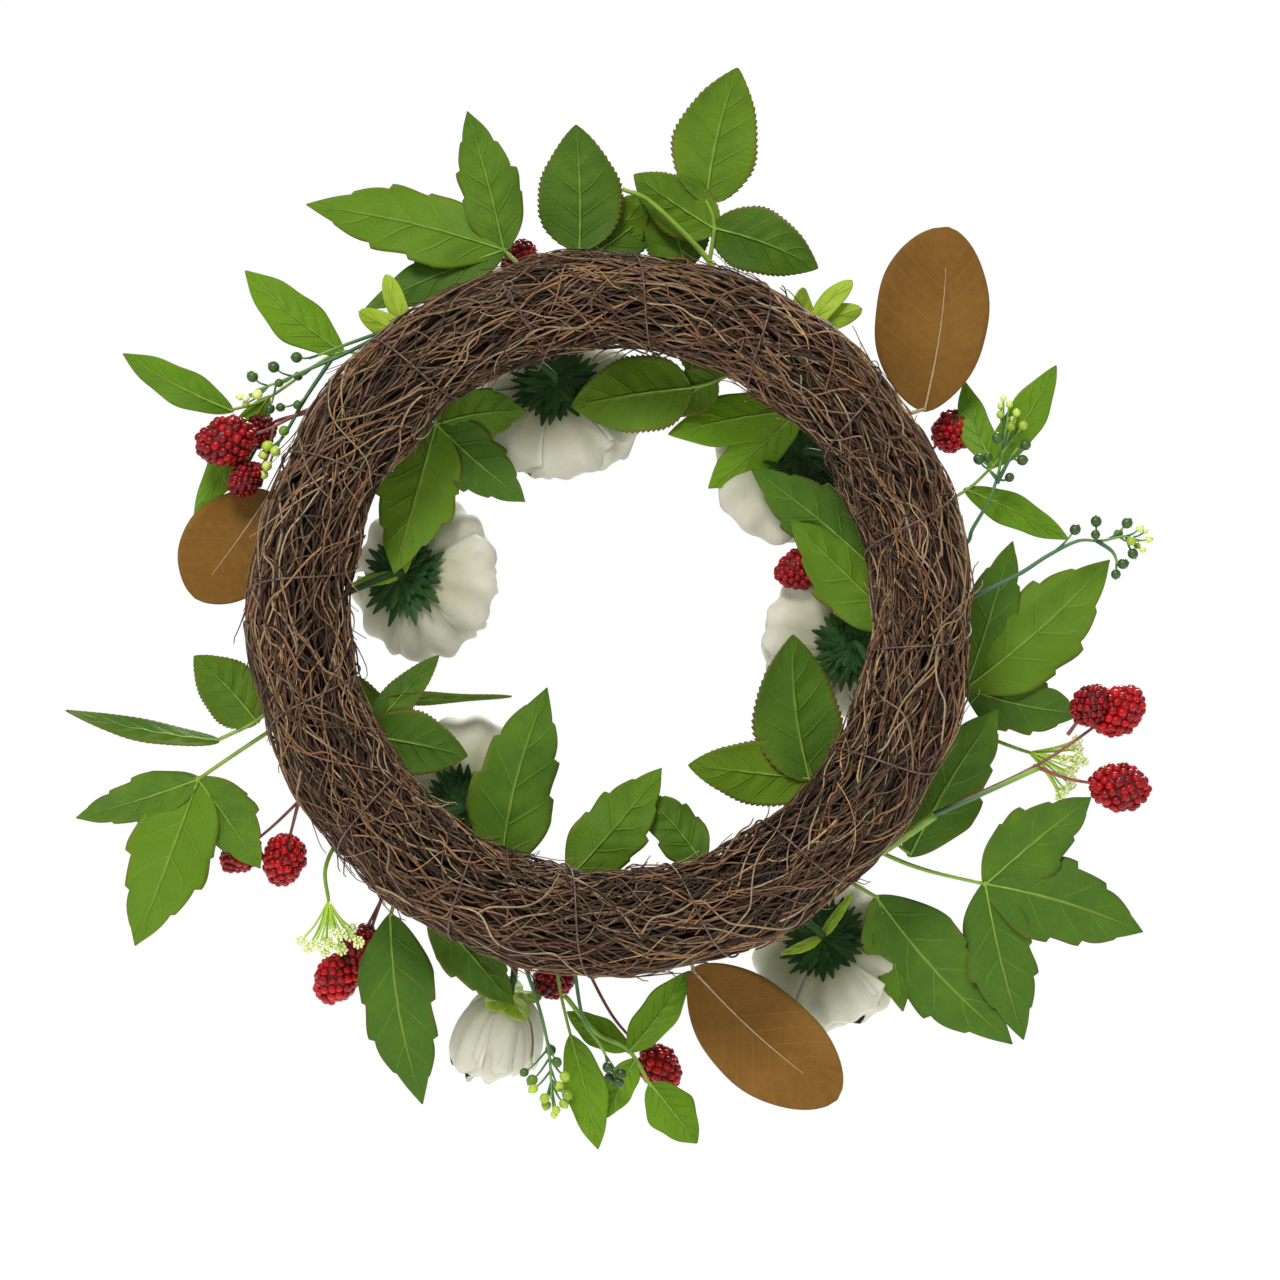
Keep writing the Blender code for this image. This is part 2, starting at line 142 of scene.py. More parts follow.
class Shade:
    """One socket of a material's nodes; maths on it adds the nodes that do it."""

    def __init__(self, tree, socket=None):
        self.tree = tree
        self.socket = socket

    def add(self, kind, settings=None, inputs=None, out=0):
        """A new node: settings first, then each socket's value or link. Gives its output."""
        node = self.tree.nodes.new(kind)
        for name, value in (settings or {}).items():
            if name == "stops":
                elements = node.color_ramp.elements
                while len(elements) < len(value):
                    elements.new(0.5)
                for element, (place, colour) in zip(elements, value):
                    element.position = place
                    element.color = (*colour, 1.0)
            else:
                setattr(node, name, value)
        for name, value in (inputs or {}).items():
            if isinstance(value, Shade):
                self.tree.links.new(value.socket, node.inputs[name])
            else:
                node.inputs[name].default_value = value
        return Shade(self.tree, node.outputs[out])

    def maths(self, operation, *values, clamp=False):
        return self.add("ShaderNodeMath", {"operation": operation, "use_clamp": clamp},
                        dict(enumerate(values)))

    def __add__(self, other):
        return self.maths("ADD", self, other)

    def __sub__(self, other):
        return self.maths("SUBTRACT", self, other)

    def __rsub__(self, other):
        return self.maths("SUBTRACT", other, self)

    def __mul__(self, other):
        return self.maths("MULTIPLY", self, other)

    __radd__ = __add__
    __rmul__ = __mul__

    def step(self, low, high):
        """0 below low, 1 above high, smooth between."""
        return self.add("ShaderNodeMapRange", {"interpolation_type": "SMOOTHSTEP"},
                        {"Value": self, "From Min": low, "From Max": high})

    def blend(self, first, second):
        """Colour first where this is 0, second where it is 1."""
        colours = [c if isinstance(c, Shade) else (*c, 1.0) for c in (first, second)]
        return self.add("ShaderNodeMix", {"data_type": "RGBA"}, {0: self, 6: colours[0], 7: colours[1]}, 2)

    def ramp(self, *stops):
        return self.add("ShaderNodeValToRGB", {"stops": stops}, {"Fac": self})

    def coordinates(self):
        return self.add("ShaderNodeTexCoord", out="Object")

    def across(self):
        """The two map coordinates: along the piece, and across it."""
        place = self.add("ShaderNodeSeparateXYZ", {}, {0: self.add("ShaderNodeTexCoord", out="UV")})
        return place, Shade(self.tree, place.socket.node.outputs[1])

    def attribute(self, name):
        return self.add("ShaderNodeAttribute", {"attribute_name": name}, out=2)

    def noise(self, scale, detail=3.0, roughness=0.5):
        return self.add("ShaderNodeTexNoise", {}, {
            "Vector": self.coordinates(), "Scale": scale, "Detail": detail, "Roughness": roughness})

    def finish(self, name, colour, roughness, height=None, height_mm=0.3, **constants):
        """The material's Principled BSDF, with its bump and its plain settings."""
        shader = self.tree.nodes["Principled BSDF"]
        for socket, value in {"Base Color": colour, "Roughness": roughness}.items():
            if isinstance(value, Shade):
                self.tree.links.new(value.socket, shader.inputs[socket])
            else:
                shader.inputs[socket].default_value = value
        if height is not None:
            bump = self.add("ShaderNodeBump", {}, {"Height": height, "Distance": height_mm * MM})
            self.tree.links.new(bump.socket, shader.inputs["Normal"])
        for socket, value in constants.items():
            shader.inputs[socket.replace("_", " ")].default_value = value
        return bpy.data.materials[name]


def new_material(name):
    material = bpy.data.materials.new(name)
    material.use_nodes = True
    return Shade(material.node_tree)


paper = new_material("floor_paper")
paper_shade = paper.noise(3.0).ramp((0.3, (0.93, 0.93, 0.93)), (0.7, (0.95, 0.95, 0.95)))
PAPER = paper.finish("floor_paper", paper_shade, 0.9,
                     Emission_Color=(1.0, 1.0, 1.0, 1.0), Emission_Strength=0.3)
FLOOR_GAP = 0.20
FLOOR_HALF = 1.4
floor_mesh = bpy.data.meshes.new("floor")
corners = np.array(((-1.0, -1.0), (1.0, -1.0), (1.0, 1.0), (-1.0, 1.0))) * FLOOR_HALF
floor_mesh.from_pydata(np.c_[corners, np.full(4, cad_box[0][2] - FLOOR_GAP)], [], [(0, 1, 2, 3)])
floor_mesh.materials.append(PAPER)
floor = bpy.data.objects.new("floor", floor_mesh)
scene.collection.objects.link(floor)

# ---- Core hoop ----
# Drawn steel wire butt-welded into a hoop: the twigs are laid round it. It only shows as a
# glint between twigs, dulled by sap and a little rust.

steel = new_material("dulled_steel")
rust = steel.noise(90.0, 5.0, 0.6).step(0.45, 0.62)
STEEL = steel.finish("dulled_steel", rust.blend((0.16, 0.15, 0.14), (0.12, 0.05, 0.025)), 0.35 + 0.4 * rust,
                     steel.noise(600.0), 0.1, Metallic=0.8)
hoop = frame["nodes"]["core_hoop"]
hoop.data.materials.clear()
hoop.data.materials.append(STEEL)

# ---- Twig bundle ----
# Several hundred thin willow twigs, laid round the hoop by hand so that they lap each other and
# weave. Dry bark, dark red-brown, with odd tan and straw strands; the wire pinches the bundle.
# Twigs deeper in the bundle take darker tones, down to near black: painted shade between them.

BUNDLE_R = 26.0
WRAPS = 16
EYE_CLOCK = 17.5
PINCH = 0.055


def at(clock, reach, depth):
    """Points in metres from places round the ring; each may be an array."""
    angle = np.radians(clock)
    flat = np.stack(np.broadcast_arrays(reach * np.sin(angle), -np.asarray(depth, float),
                                        reach * np.cos(angle)), -1)
    return RING_CENTRE + flat * MM


def in_bundle(clock, side, offset):
    """Points offset from the bundle's centre line; side 0 is outwards and 90 the bare back."""
    turn = np.radians(side)
    return at(clock, RING_R + offset * np.cos(turn), -offset * np.sin(turn))


def unit(vectors):
    return vectors / np.maximum(np.linalg.norm(vectors, axis=-1, keepdims=True), 1e-9)


def rings_along(paths, radii, sides, across=(0.0, 1.0, 0.0)):
    """Round bars. A ring of points stands square to each path, at its radius: the centre plus
    radius times (cos turn, sin turn) in the two directions square to the path."""
    run = unit(np.gradient(paths, axis=-2))
    first = unit(np.cross(run, np.asarray(across, float)))
    second = np.cross(run, first)
    turn = np.linspace(0.0, 2.0 * math.pi, sides, endpoint=False)[:, None]
    ring = np.cos(turn) * first[..., None, :] + np.sin(turn) * second[..., None, :]
    return paths[..., None, :] + ring * np.asarray(radii)[..., None, None]


def new_piece(name, parts, body="wreath"):
    """One mesh object at the origin. A part is rings of points (bars, rings, points, 3), its
    material or (material, material) for the first and second half of each ring, and a tone for
    each bar. Neighbouring rings are joined by four-sided faces, and the end rings are closed."""
    points, loops, sizes, slots, coords, tones = [], [], [], [], [], []
    materials = []
    start = 0
    for rings, look, tone in parts:
        bars, length, sides = rings.shape[:3]
        looks = look if isinstance(look, tuple) else (look, look)
        for material in looks:
            if material not in materials:
                materials.append(material)
        index = start + np.arange(bars * length * sides).reshape(bars, length, sides)
        beside = np.roll(index, -1, axis=2)
        quads = np.stack((index[:, :-1], beside[:, :-1], beside[:, 1:], index[:, 1:]), -1).reshape(-1, 4)
        half = np.where(np.arange(sides) < sides // 2, materials.index(looks[0]), materials.index(looks[1]))
        slots += [np.broadcast_to(half, (bars, length - 1, sides)).ravel(), np.full(2 * bars, half[0])]
        caps = np.concatenate((index[:, 0, ::-1], index[:, -1]))
        loops += [quads.ravel(), caps.ravel()]
        sizes += [np.full(len(quads), 4), np.full(len(caps), sides)]
        points.append(rings.reshape(-1, 3))
        along = np.broadcast_to(np.linspace(0.0, 1.0, length)[None, :, None], (bars, length, sides))
        place = np.arange(sides)
        lap = np.minimum(place, sides - 1 - place) / (sides // 2 - 1.0)
        over = np.broadcast_to(np.clip(lap, 0.0, 1.0), along.shape)
        coords.append(np.stack((along, over), -1).reshape(-1, 2))
        tones.append(np.repeat(np.broadcast_to(np.asarray(tone, float), (bars,)), length * sides))
        start += rings[..., 0].size
    points, loops, sizes = np.concatenate(points), np.concatenate(loops), np.concatenate(sizes)
    mesh = bpy.data.meshes.new(name)
    mesh.vertices.add(len(points))
    mesh.vertices.foreach_set("co", points.ravel())
    mesh.loops.add(len(loops))
    mesh.loops.foreach_set("vertex_index", loops)
    mesh.polygons.add(len(sizes))
    mesh.polygons.foreach_set("loop_start", np.cumsum(sizes) - sizes)
    mesh.polygons.foreach_set("loop_total", sizes)
    mesh.polygons.foreach_set("material_index", np.concatenate(slots))
    mesh.polygons.foreach_set("use_smooth", np.ones(len(sizes), bool))
    mesh.uv_layers.new(name="UVMap").data.foreach_set("uv", np.concatenate(coords)[loops].ravel())
    mesh.attributes.new("tone", "FLOAT", "POINT").data.foreach_set("value", np.concatenate(tones))
    for material in materials:
        mesh.materials.append(material)
    mesh.update(calc_edges=True)
    mesh.validate()
    piece = bpy.data.objects.new(name, mesh)
    scene.collection.objects.link(piece)
    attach(piece, body)
    return piece


def pinched(clock, side):
    """The bundle's radius: less under each wrap of the wire, fuller between, as a cosine, a little
    fuller low down, and lumpy by two crossed waves."""
    lump = np.sin(np.radians(9.0 * clock + 2.0 * side)) + np.sin(np.radians(13.0 * clock - 3.0 * side))
    swell = -0.035 * np.cos(np.radians(clock + 15.0)) + 0.026 * lump
    return BUNDLE_R * (1.0 + swell - PINCH * (1.0 + np.cos(np.radians(WRAPS * (clock - EYE_CLOCK)))) / 2.0)


def twigs(count, seed, span, share, thick, points=36, sides=5, twist=1.3, curl=1.0, stray=0.06):
    """Twigs that each run part of the way round. The side angle is a steady twist plus a slow and
    two quick waves, the last also in the clock; the share of the bundle's radius is a wave that
    lifts at one end."""
    rng = np.random.default_rng(seed)
    t = np.linspace(0.0, 1.0, points)
    one = lambda low, high: rng.uniform(low, high, (count, 1))
    length = one(*span)

    def wave(size, low, high):
        return size * np.sin(2.0 * math.pi * (length / one(low, high) * t + one(0.0, 1.0)))

    side = one(0.0, 360.0) + rng.normal(0.0, twist, (count, 1)) * length * t
    side = side + wave(one(8.0, 26.0), 40.0, 90.0) + curl * (
        wave(one(2.0, 7.0), 12.0, 26.0) + wave(one(0.5, 2.2), 7.0, 11.0))
    clock = one(0.0, 360.0) + length * t + curl * wave(one(0.2, 0.9), 8.0, 16.0)
    part = one(*share) + wave(one(0.01, 0.05), 12.0, 40.0)
    lift = one(-0.4, 1.0) * stray * t**5
    offset = pinched(clock, side) * np.clip(part + lift, 0.0, 1.24)
    radius = one(*thick) * (1.0 - 0.5 * t**2)
    return rings_along(in_bundle(clock, side, offset), radius * MM, sides), rng.random(count)


bark = new_material("twig_bark")
tone = bark.attribute("tone")
grain = bark.noise(420.0, 4.0, 0.6)
shift = tone + 0.16 * (grain - 0.5)
# The lowest stops, near black, are a painted shadow colour for the darkest and deepest twigs.
red_brown = shift.ramp(
    (0.0, (0.015, 0.007, 0.003)), (0.35, (0.050, 0.023, 0.012)), (0.65, (0.165, 0.078, 0.038)),
    (0.88, (0.27, 0.135, 0.065)), (0.98, (0.38, 0.185, 0.060)), (1.0, (0.46, 0.31, 0.13)))
grey_brown = shift.ramp((0.0, (0.017, 0.010, 0.005)), (0.35, (0.054, 0.034, 0.017)),
                        (0.7, (0.21, 0.135, 0.066)), (1.0, (0.42, 0.31, 0.18)))
each = bark.maths("FRACT", tone * 57.3)
fresh = each.step(0.55, 0.65).blend(red_brown, grey_brown)
aged = grain.step(0.25, 0.75).blend((0.62, 0.6, 0.6), (1.0, 1.0, 1.0))
bark_colour = bark.add("ShaderNodeMix", {"data_type": "RGBA", "blend_type": "MULTIPLY"},
                       {0: 1.0, 6: fresh, 7: aged}, 2)
BARK = bark.finish("twig_bark", bark_colour, 0.40 + 0.3 * grain, grain, 0.4, Specular_IOR_Level=0.26)

filling, filling_tone = twigs(190, 3, (90.0, 200.0), (0.15, 0.68), (1.6, 2.6), 24, 4)
under, under_tone = twigs(440, 5, (50.0, 140.0), (0.70, 0.86), (0.8, 1.2))
over, over_tone = twigs(520, 7, (28.0, 80.0), (0.88, 0.97), (0.45, 0.82), 40, 5, 1.7)
curly, curly_tone = twigs(470, 8, (12.0, 38.0), (0.94, 1.02), (0.35, 0.62), 40, 5, 2.0, 1.4)
loops, loops_tone = twigs(80, 12, (24.0, 60.0), (0.97, 1.02), (0.42, 0.72), 70, 5, 2.4, 2.4)
loose, loose_tone = twigs(760, 9, (5.0, 22.0), (0.95, 1.02), (0.30, 0.54), 18, 4, 4.0, 1.5, 0.42)
# The inside and middle layers take only the lower, darker tones: painted shade deep in the bundle.
for name, bars, tones in (
        ("twigs_inside", filling, 0.35 * filling_tone), ("twigs_middle", under, 0.7 * under_tone),
        ("twigs_outside", over, over_tone), ("twigs_curly", curly, 0.12 + 0.88 * curly_tone),
        ("twigs_looped", loops, 0.25 + 0.6 * loops_tone), ("twig_ends", loose, 0.2 + 0.8 * loose_tone)):
    piece = new_piece(name, [(bars, BARK, tones)])
    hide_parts(*[f"twig_strand_{number}" for number in range(1, 6)])

# ---- Binding wire and hanging eye ----
# One length of thin coated wire, spiralled round the twigs by machine. It hurries straight over
# the bare back and slants over the front. Its first end is twisted into a small eye.

WIRE_R = 0.55
WIRE_SHARE = 1.045
WIRE_BACK_LEAD = 4.0
NECK_SIDE = 70.0
EYE_R = 2.5
EYE_LEAN = 28.0

coat = new_material("wire_coating")
scuff = coat.noise(700.0, 4.0, 0.6)
plum = scuff.step(0.4, 0.7).blend((0.070, 0.038, 0.032), (0.21, 0.135, 0.11))
COATED_WIRE = coat.finish("wire_coating", plum, 0.3 + 0.3 * scuff, scuff, 0.06, Metallic=0.55)


def through(points, count=24):
    """A smooth curve through points: cubic spans whose slope at each point is half the way
    between its neighbours."""
    points = np.asarray(points, float)
    slope = np.gradient(points, axis=0)
    t = np.linspace(0.0, len(points) - 1.0, count)
    span = np.minimum(t.astype(int), len(points) - 2)
    s = (t - span)[:, None]
    return ((2 * s**3 - 3 * s**2 + 1) * points[span] + (s**3 - 2 * s**2 + s) * slope[span]
            + (3 * s**2 - 2 * s**3) * points[span + 1] + (s**3 - s**2) * slope[span + 1])


neck = at(EYE_CLOCK, RING_R + 9.5, -28.6)
out = unit(at(EYE_CLOCK, 2.0, 0.0) - at(EYE_CLOCK, 1.0, 0.0))
lean = math.radians(EYE_LEAN)
rise = out * math.cos(lean) - np.array((0.0, math.sin(lean), 0.0))
sideways = np.array((out[2], 0.0, -out[0]))

step = np.linspace(0.25, WRAPS - 0.25, 1100) / WRAPS
side = NECK_SIDE + 360.0 * WRAPS * step
held = 0.5 * WIRE_BACK_LEAD * np.cos(np.radians(side))
wire_clock = EYE_CLOCK - 360.0 * step - held
spiral = in_bundle(wire_clock, side, WIRE_SHARE * pinched(wire_clock, side))
tail = through([neck - 1.1 * MM * rise, neck - 5.0 * MM * rise, spiral[0], spiral[6]], 30)[:-8]
wire_path = np.concatenate((tail, spiral[4:]))
neck_path = through(tail[4:18:3], 60)
turn = np.linspace(0.0, 8.0 * math.pi, 60)[:, None]
run = unit(np.gradient(neck_path, axis=0))
beside = unit(np.cross(run, (0.0, 1.0, 0.0)))
coil = neck_path + (np.cos(turn) * beside + np.sin(turn) * np.cross(run, beside)) * 1.9 * WIRE_R * MM
turns = [(rings_along(path[None], WIRE_R * MM * np.ones(len(path)), 6, (0.31, 0.9, 0.2)), COATED_WIRE, 0.5)
         for path in (wire_path, coil)]
wire = new_piece("wire_wrap", turns)
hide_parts("binding_wire")

turn = np.radians(np.linspace(-168.0, 168.0, 48))[:, None]
loop = neck + rise * (EYE_R + 2.0) * MM + (np.cos(turn) * rise + np.sin(turn) * sideways) * EYE_R * MM
shank = np.linspace(neck, neck + 1.9 * MM * rise, 6)
eye_wire = WIRE_R * MM * np.ones(len(loop))
eye = new_piece("wire_eye", [
    (rings_along(loop[None], eye_wire, 8, (0.1, 1.0, 0.05)), COATED_WIRE, 0.5),
    (rings_along(shank[None], 0.7 * MM * np.ones(6), 8), COATED_WIRE, 0.5)], "eye")
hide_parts("hanging_eye")

# ---- Magnolia leaves ----
# Big single leaves on short wired stalks: flocked brown suede on the back, glossy dark green on
# the face, with a pale raised midrib.

STEM_R = 1.2
BLADE_THICKNESS = 0.7
ROOT_DEPTH = 16.0
RIB_LIFT = 0.4
CUT_EDGE = (0.16, 0.07, 0.02)


def sheet(grid, thickness=BLADE_THICKNESS):
    """A surface grid (rows, columns, 3) given thickness: its face in the first half of each ring
    and its back in the second. The face looks along (step across) x (step along)."""
    face = unit(np.cross(np.gradient(grid, axis=1), np.gradient(grid, axis=0)))
    lift = 0.5 * thickness * MM * face
    return np.concatenate((grid + lift, (grid - lift)[:, ::-1]), axis=1)[None]


def outline(u, fullness, point):
    """Half width of a leaf, 0 at both ends and 1 at its widest: u to the power of its fullness,
    times what is left to the power of its point."""
    peak = fullness / (fullness + point)
    u = np.clip(u, 0.0, 1.0)
    return (u / peak) ** fullness * ((1.0 - u) / (1.0 - peak)) ** point


def blade(base, tip, width, roll, shape, bend, phase, skew=0.0, facing=(0.0, -1.0, 0.0)):
    """A leaf blade's grid. Half width is a wavy outline cut by forward teeth and notches; height is
    a fold along the midrib, a bend along the length, a ripple at the edge and a quilt between
    veins. The midrib sways aside as a half sine."""
    t = np.linspace(0.0, 1.0, shape["rows"])[:, None]
    u = 0.6 * t + 0.2 * (1.0 - np.cos(math.pi * t))
    v = np.linspace(-1.0, 1.0, 17)[None, :]
    length = np.linalg.norm(tip - base)
    teeth = 1.0 - (u * shape["teeth"] + 0.3 * np.sign(v)) % 1.0
    notch = 1.0 - (u * shape["notches"] + phase + 0.37 * np.sign(v)) % 1.0
    window = np.sin(math.pi * np.clip(1.6 * u - 0.55, 0.0, 1.0)) ** 0.6
    half = 0.5 * width * MM * outline(u, shape["fullness"], shape["point"]) * (1.0 + skew * np.sign(v))
    half = half * (1.0 + shape["wavy"] * np.sin(2.0 * math.pi * (2.4 * u + phase + 0.4 * np.sign(v))))
    half = half * (1.0 - shape["tooth"] * teeth) * (1.0 - shape["notch"] * window * notch**1.6) + 0.0003
    vein = np.abs((u * shape["veins"] - shape["slant"] * np.abs(v)) % 1.0 - 0.5)
    quilt = 1.0 * MM * (0.5 - 2.0 * vein) * (1.0 - np.abs(v)) * np.sin(math.pi * u)
    ripple = 0.13 * np.sin(2.0 * math.pi * (shape["waves"] * u + phase)) * v * np.abs(v) * half
    height = (shape["fold"] * np.abs(v) * half + bend * length * (u**2 - 0.4 * u) + ripple + quilt
              - shape["dish"] * v**2 * half)
    sway = length * 0.09 * (phase - 0.5) * np.sin(math.pi * u)
    run = unit(tip - base)
    face = unit(np.array(facing) - run * np.dot(run, facing))
    across = np.cross(run, face)
    tilt = math.radians(roll)
    face, across = (face * math.cos(tilt) + across * math.sin(tilt),
                    across * math.cos(tilt) - face * math.sin(tilt))
    return (base + run * (length * u)[..., None] + across * (half * v + sway)[..., None]
            + face * height[..., None])


def leaf_look(name, green, deep, vein, shape, roughness, show, edging=0.5):
    """One side of a leaf. Veins are pale lines where (veins x length - slant x distance from the
    midrib) is whole, with a fine net between them; the cut rim is reddish."""
    leaf = new_material(name)
    along, over = leaf.across()
    off_rib = leaf.maths("ABSOLUTE", 2.0 * over - 1.0)
    mottle = leaf.noise(55.0, 4.0, 0.6)
    wobble = leaf.noise(38.0, 2.0, 0.5)
    phase = leaf.maths("FRACT", along * shape["veins"] - off_rib * shape["slant"] + 0.35 * wobble)
    near_vein = leaf.maths("ABSOLUTE", phase - 0.5).step(0.43, 0.5) * (1.0 - off_rib).step(0.05, 0.6)
    rib = (1.0 - off_rib.step(0.02, 0.07)) * (1.0 - along.step(0.72, 0.95))
    net = 1.0 - leaf.add("ShaderNodeTexVoronoi", {"feature": "DISTANCE_TO_EDGE"},
                         {"Vector": leaf.coordinates(), "Scale": 420.0}).step(0.0, 0.09)
    lines = leaf.maths("MAXIMUM", rib, near_vein * 0.55, clamp=True)
    body = (0.6 * mottle + 0.4 * leaf.attribute("tone")).step(0.25, 0.75).blend(deep, green)
    veined = (show * lines + 0.14 * show * net).blend(body, vein)
    rim = off_rib.step(0.9, 1.0) * edging * mottle.step(0.3, 0.6)
    return leaf.finish(name, rim.blend(veined, CUT_EDGE), roughness + 0.18 * mottle,
                       lines - 0.12 * net + 0.25 * mottle, 0.6, Specular_IOR_Level=0.16)


MAGNOLIA = dict(rows=40, fullness=0.66, point=0.60, wavy=0.01, waves=1.0, fold=0.10, dish=0.16,
                veins=11.0, slant=2.2, teeth=1.0, tooth=0.0, notches=1.0, notch=0.0)
suede = new_material("brown_suede")
nap = suede.noise(260.0, 5.0, 0.65)
cloud = suede.noise(28.0, 3.0, 0.5)
suede_along, suede_over = suede.across()
from_rib = suede.maths("ABSOLUTE", 2.0 * suede_over - 1.0)
suede_phase = suede.maths("FRACT", suede_along * MAGNOLIA["veins"] - from_rib * MAGNOLIA["slant"])
suede_vein = suede.maths("ABSOLUTE", suede_phase - 0.5).step(0.44, 0.5)
flock = (0.4 * nap + 0.6 * cloud).step(0.3, 0.7).blend((0.130, 0.060, 0.009), (0.185, 0.088, 0.015))
SUEDE = suede.finish("brown_suede", (0.14 * suede_vein).blend(flock, (0.34, 0.20, 0.09)), 0.85,
                     nap + 0.6 * suede_vein, 0.2, Sheen_Weight=0.1, Specular_IOR_Level=0.12)
MAGNOLIA_FACE = leaf_look("magnolia_face", (0.035, 0.12, 0.022), (0.016, 0.062, 0.014), (0.16, 0.26, 0.07),
                          MAGNOLIA, 0.28, 0.5, edging=0.1)
tan = new_material("tan_stalk")
fawn = tan.noise(300.0).ramp((0.3, (0.30, 0.20, 0.10)), (0.7, (0.42, 0.30, 0.17)))
TAN_STALK = tan.finish("tan_stalk", fawn, 0.6, tan.noise(500.0), 0.15)
rng = np.random.default_rng(11)


def led_in(place):
    """Where a stem that shows from this place on starts, among the twigs."""
    return (place[0], RING_R + 0.3 * (place[1] - RING_R), ROOT_DEPTH)


def leaf_pick(node, stem, blades, shape, looks, stalk, body="wreath", rib=0.62, stem_r=STEM_R,
              skew=0.0, extra=()):
    """A stem through its places, and blades: (where it grows from, its tip, width, roll, and its
    bend if that is set). It grows from a numbered place of the stem or a place of its own, and a
    tapering rib runs up its back. An extra stem is (places, radius)."""
    places = at(*np.array(stem, float).T)
    wedged = [led_in(stem[0])] * (body == "wreath")
    path = through(at(*np.array(wedged + stem, float).T), 26)
    parts = [(rings_along(path[None], stem_r * MM * np.linspace(1.1, 0.8, 26), 8), stalk, 0.5)]
    for more, radius in extra:
        parts.append((rings_along(through(at(*np.array(more, float).T), 26)[None],
                                  radius * MM * np.linspace(1.0, 0.75, 26), 8), stalk, 0.5))
    for foot, tip, width, roll, *own in blades:
        bend = own[0] if own else rng.uniform(-0.13, 0.05)
        start = at(*foot) if isinstance(foot, tuple) else places[foot]
        end = at(*tip)
        grow = unit(end - start)
        grid = blade(start - 1.5 * MM * grow, end, width, roll, shape, bend, rng.random(), skew)
        parts.append((sheet(grid), looks, rng.random()))
        rows = int(rib * len(grid))
        middle = grid[:rows, grid.shape[1] // 2]
        back = unit(np.cross(np.gradient(grid, axis=0), np.gradient(grid, axis=1)))
        ridge = middle + back[:rows, grid.shape[1] // 2] * RIB_LIFT * MM
        radii = np.linspace(0.75, 0.15, rows) * MM
        parts.append((rings_along(ridge[None], radii, 6, (0.2, 1.0, 0.1)), stalk, 0.5))
    piece = new_piece(node + "_leaves", parts, body)
    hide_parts(node)
    return piece


leaf_pick("magnolia_leaf_top_right", [(305, 168, 31), (303, 189, 31)],
          [(1, (319, 258, 28), 58, 5, -0.06)], MAGNOLIA, (MAGNOLIA_FACE, SUEDE), TAN_STALK,
          "top_right_leaf", rib=0.75, skew=0.18)
leaf_pick("magnolia_leaf_left", [(66, 168, 31), (71, 183, 31)],
          [(1, (88, 211, 33), 50, 5, -0.06)], MAGNOLIA, (MAGNOLIA_FACE, SUEDE), TAN_STALK, rib=0.75)
leaf_pick("magnolia_leaf_bottom", [(192, 168, 31), (193, 186, 31)],
          [(1, (205, 271, 28), 53, 5, -0.06)], MAGNOLIA, (MAGNOLIA_FACE, SUEDE), TAN_STALK, rib=0.75)

# ---- Lobed peony foliage ----
# Three-lobed printed fabric leaves heat-set over a wired green rib: broad notched lobes that
# share one foot, pale veins on the back, a reddish cut edge.

PEONY = dict(MAGNOLIA, rows=84, fullness=0.85, point=1.10, wavy=0.05, waves=1.6, fold=0.20, dish=0.10,
             veins=6.0, slant=1.1, notches=5.3, notch=0.17)
PEONY_LOOKS = (
    leaf_look("peony_leaf_face", (0.058, 0.145, 0.009), (0.026, 0.082, 0.006), (0.12, 0.23, 0.03),
              PEONY, 0.36, 0.35),
    leaf_look("peony_leaf_back", (0.090, 0.176, 0.006), (0.042, 0.104, 0.006), (0.20, 0.31, 0.045),
              PEONY, 0.50, 0.38))
lime = new_material("green_stalk")
moulded_green = lime.noise(160.0).ramp((0.3, (0.12, 0.22, 0.012)), (0.7, (0.20, 0.32, 0.025)))
GREEN_STALK = lime.finish("green_stalk", moulded_green, 0.42, lime.noise(500.0), 0.12)

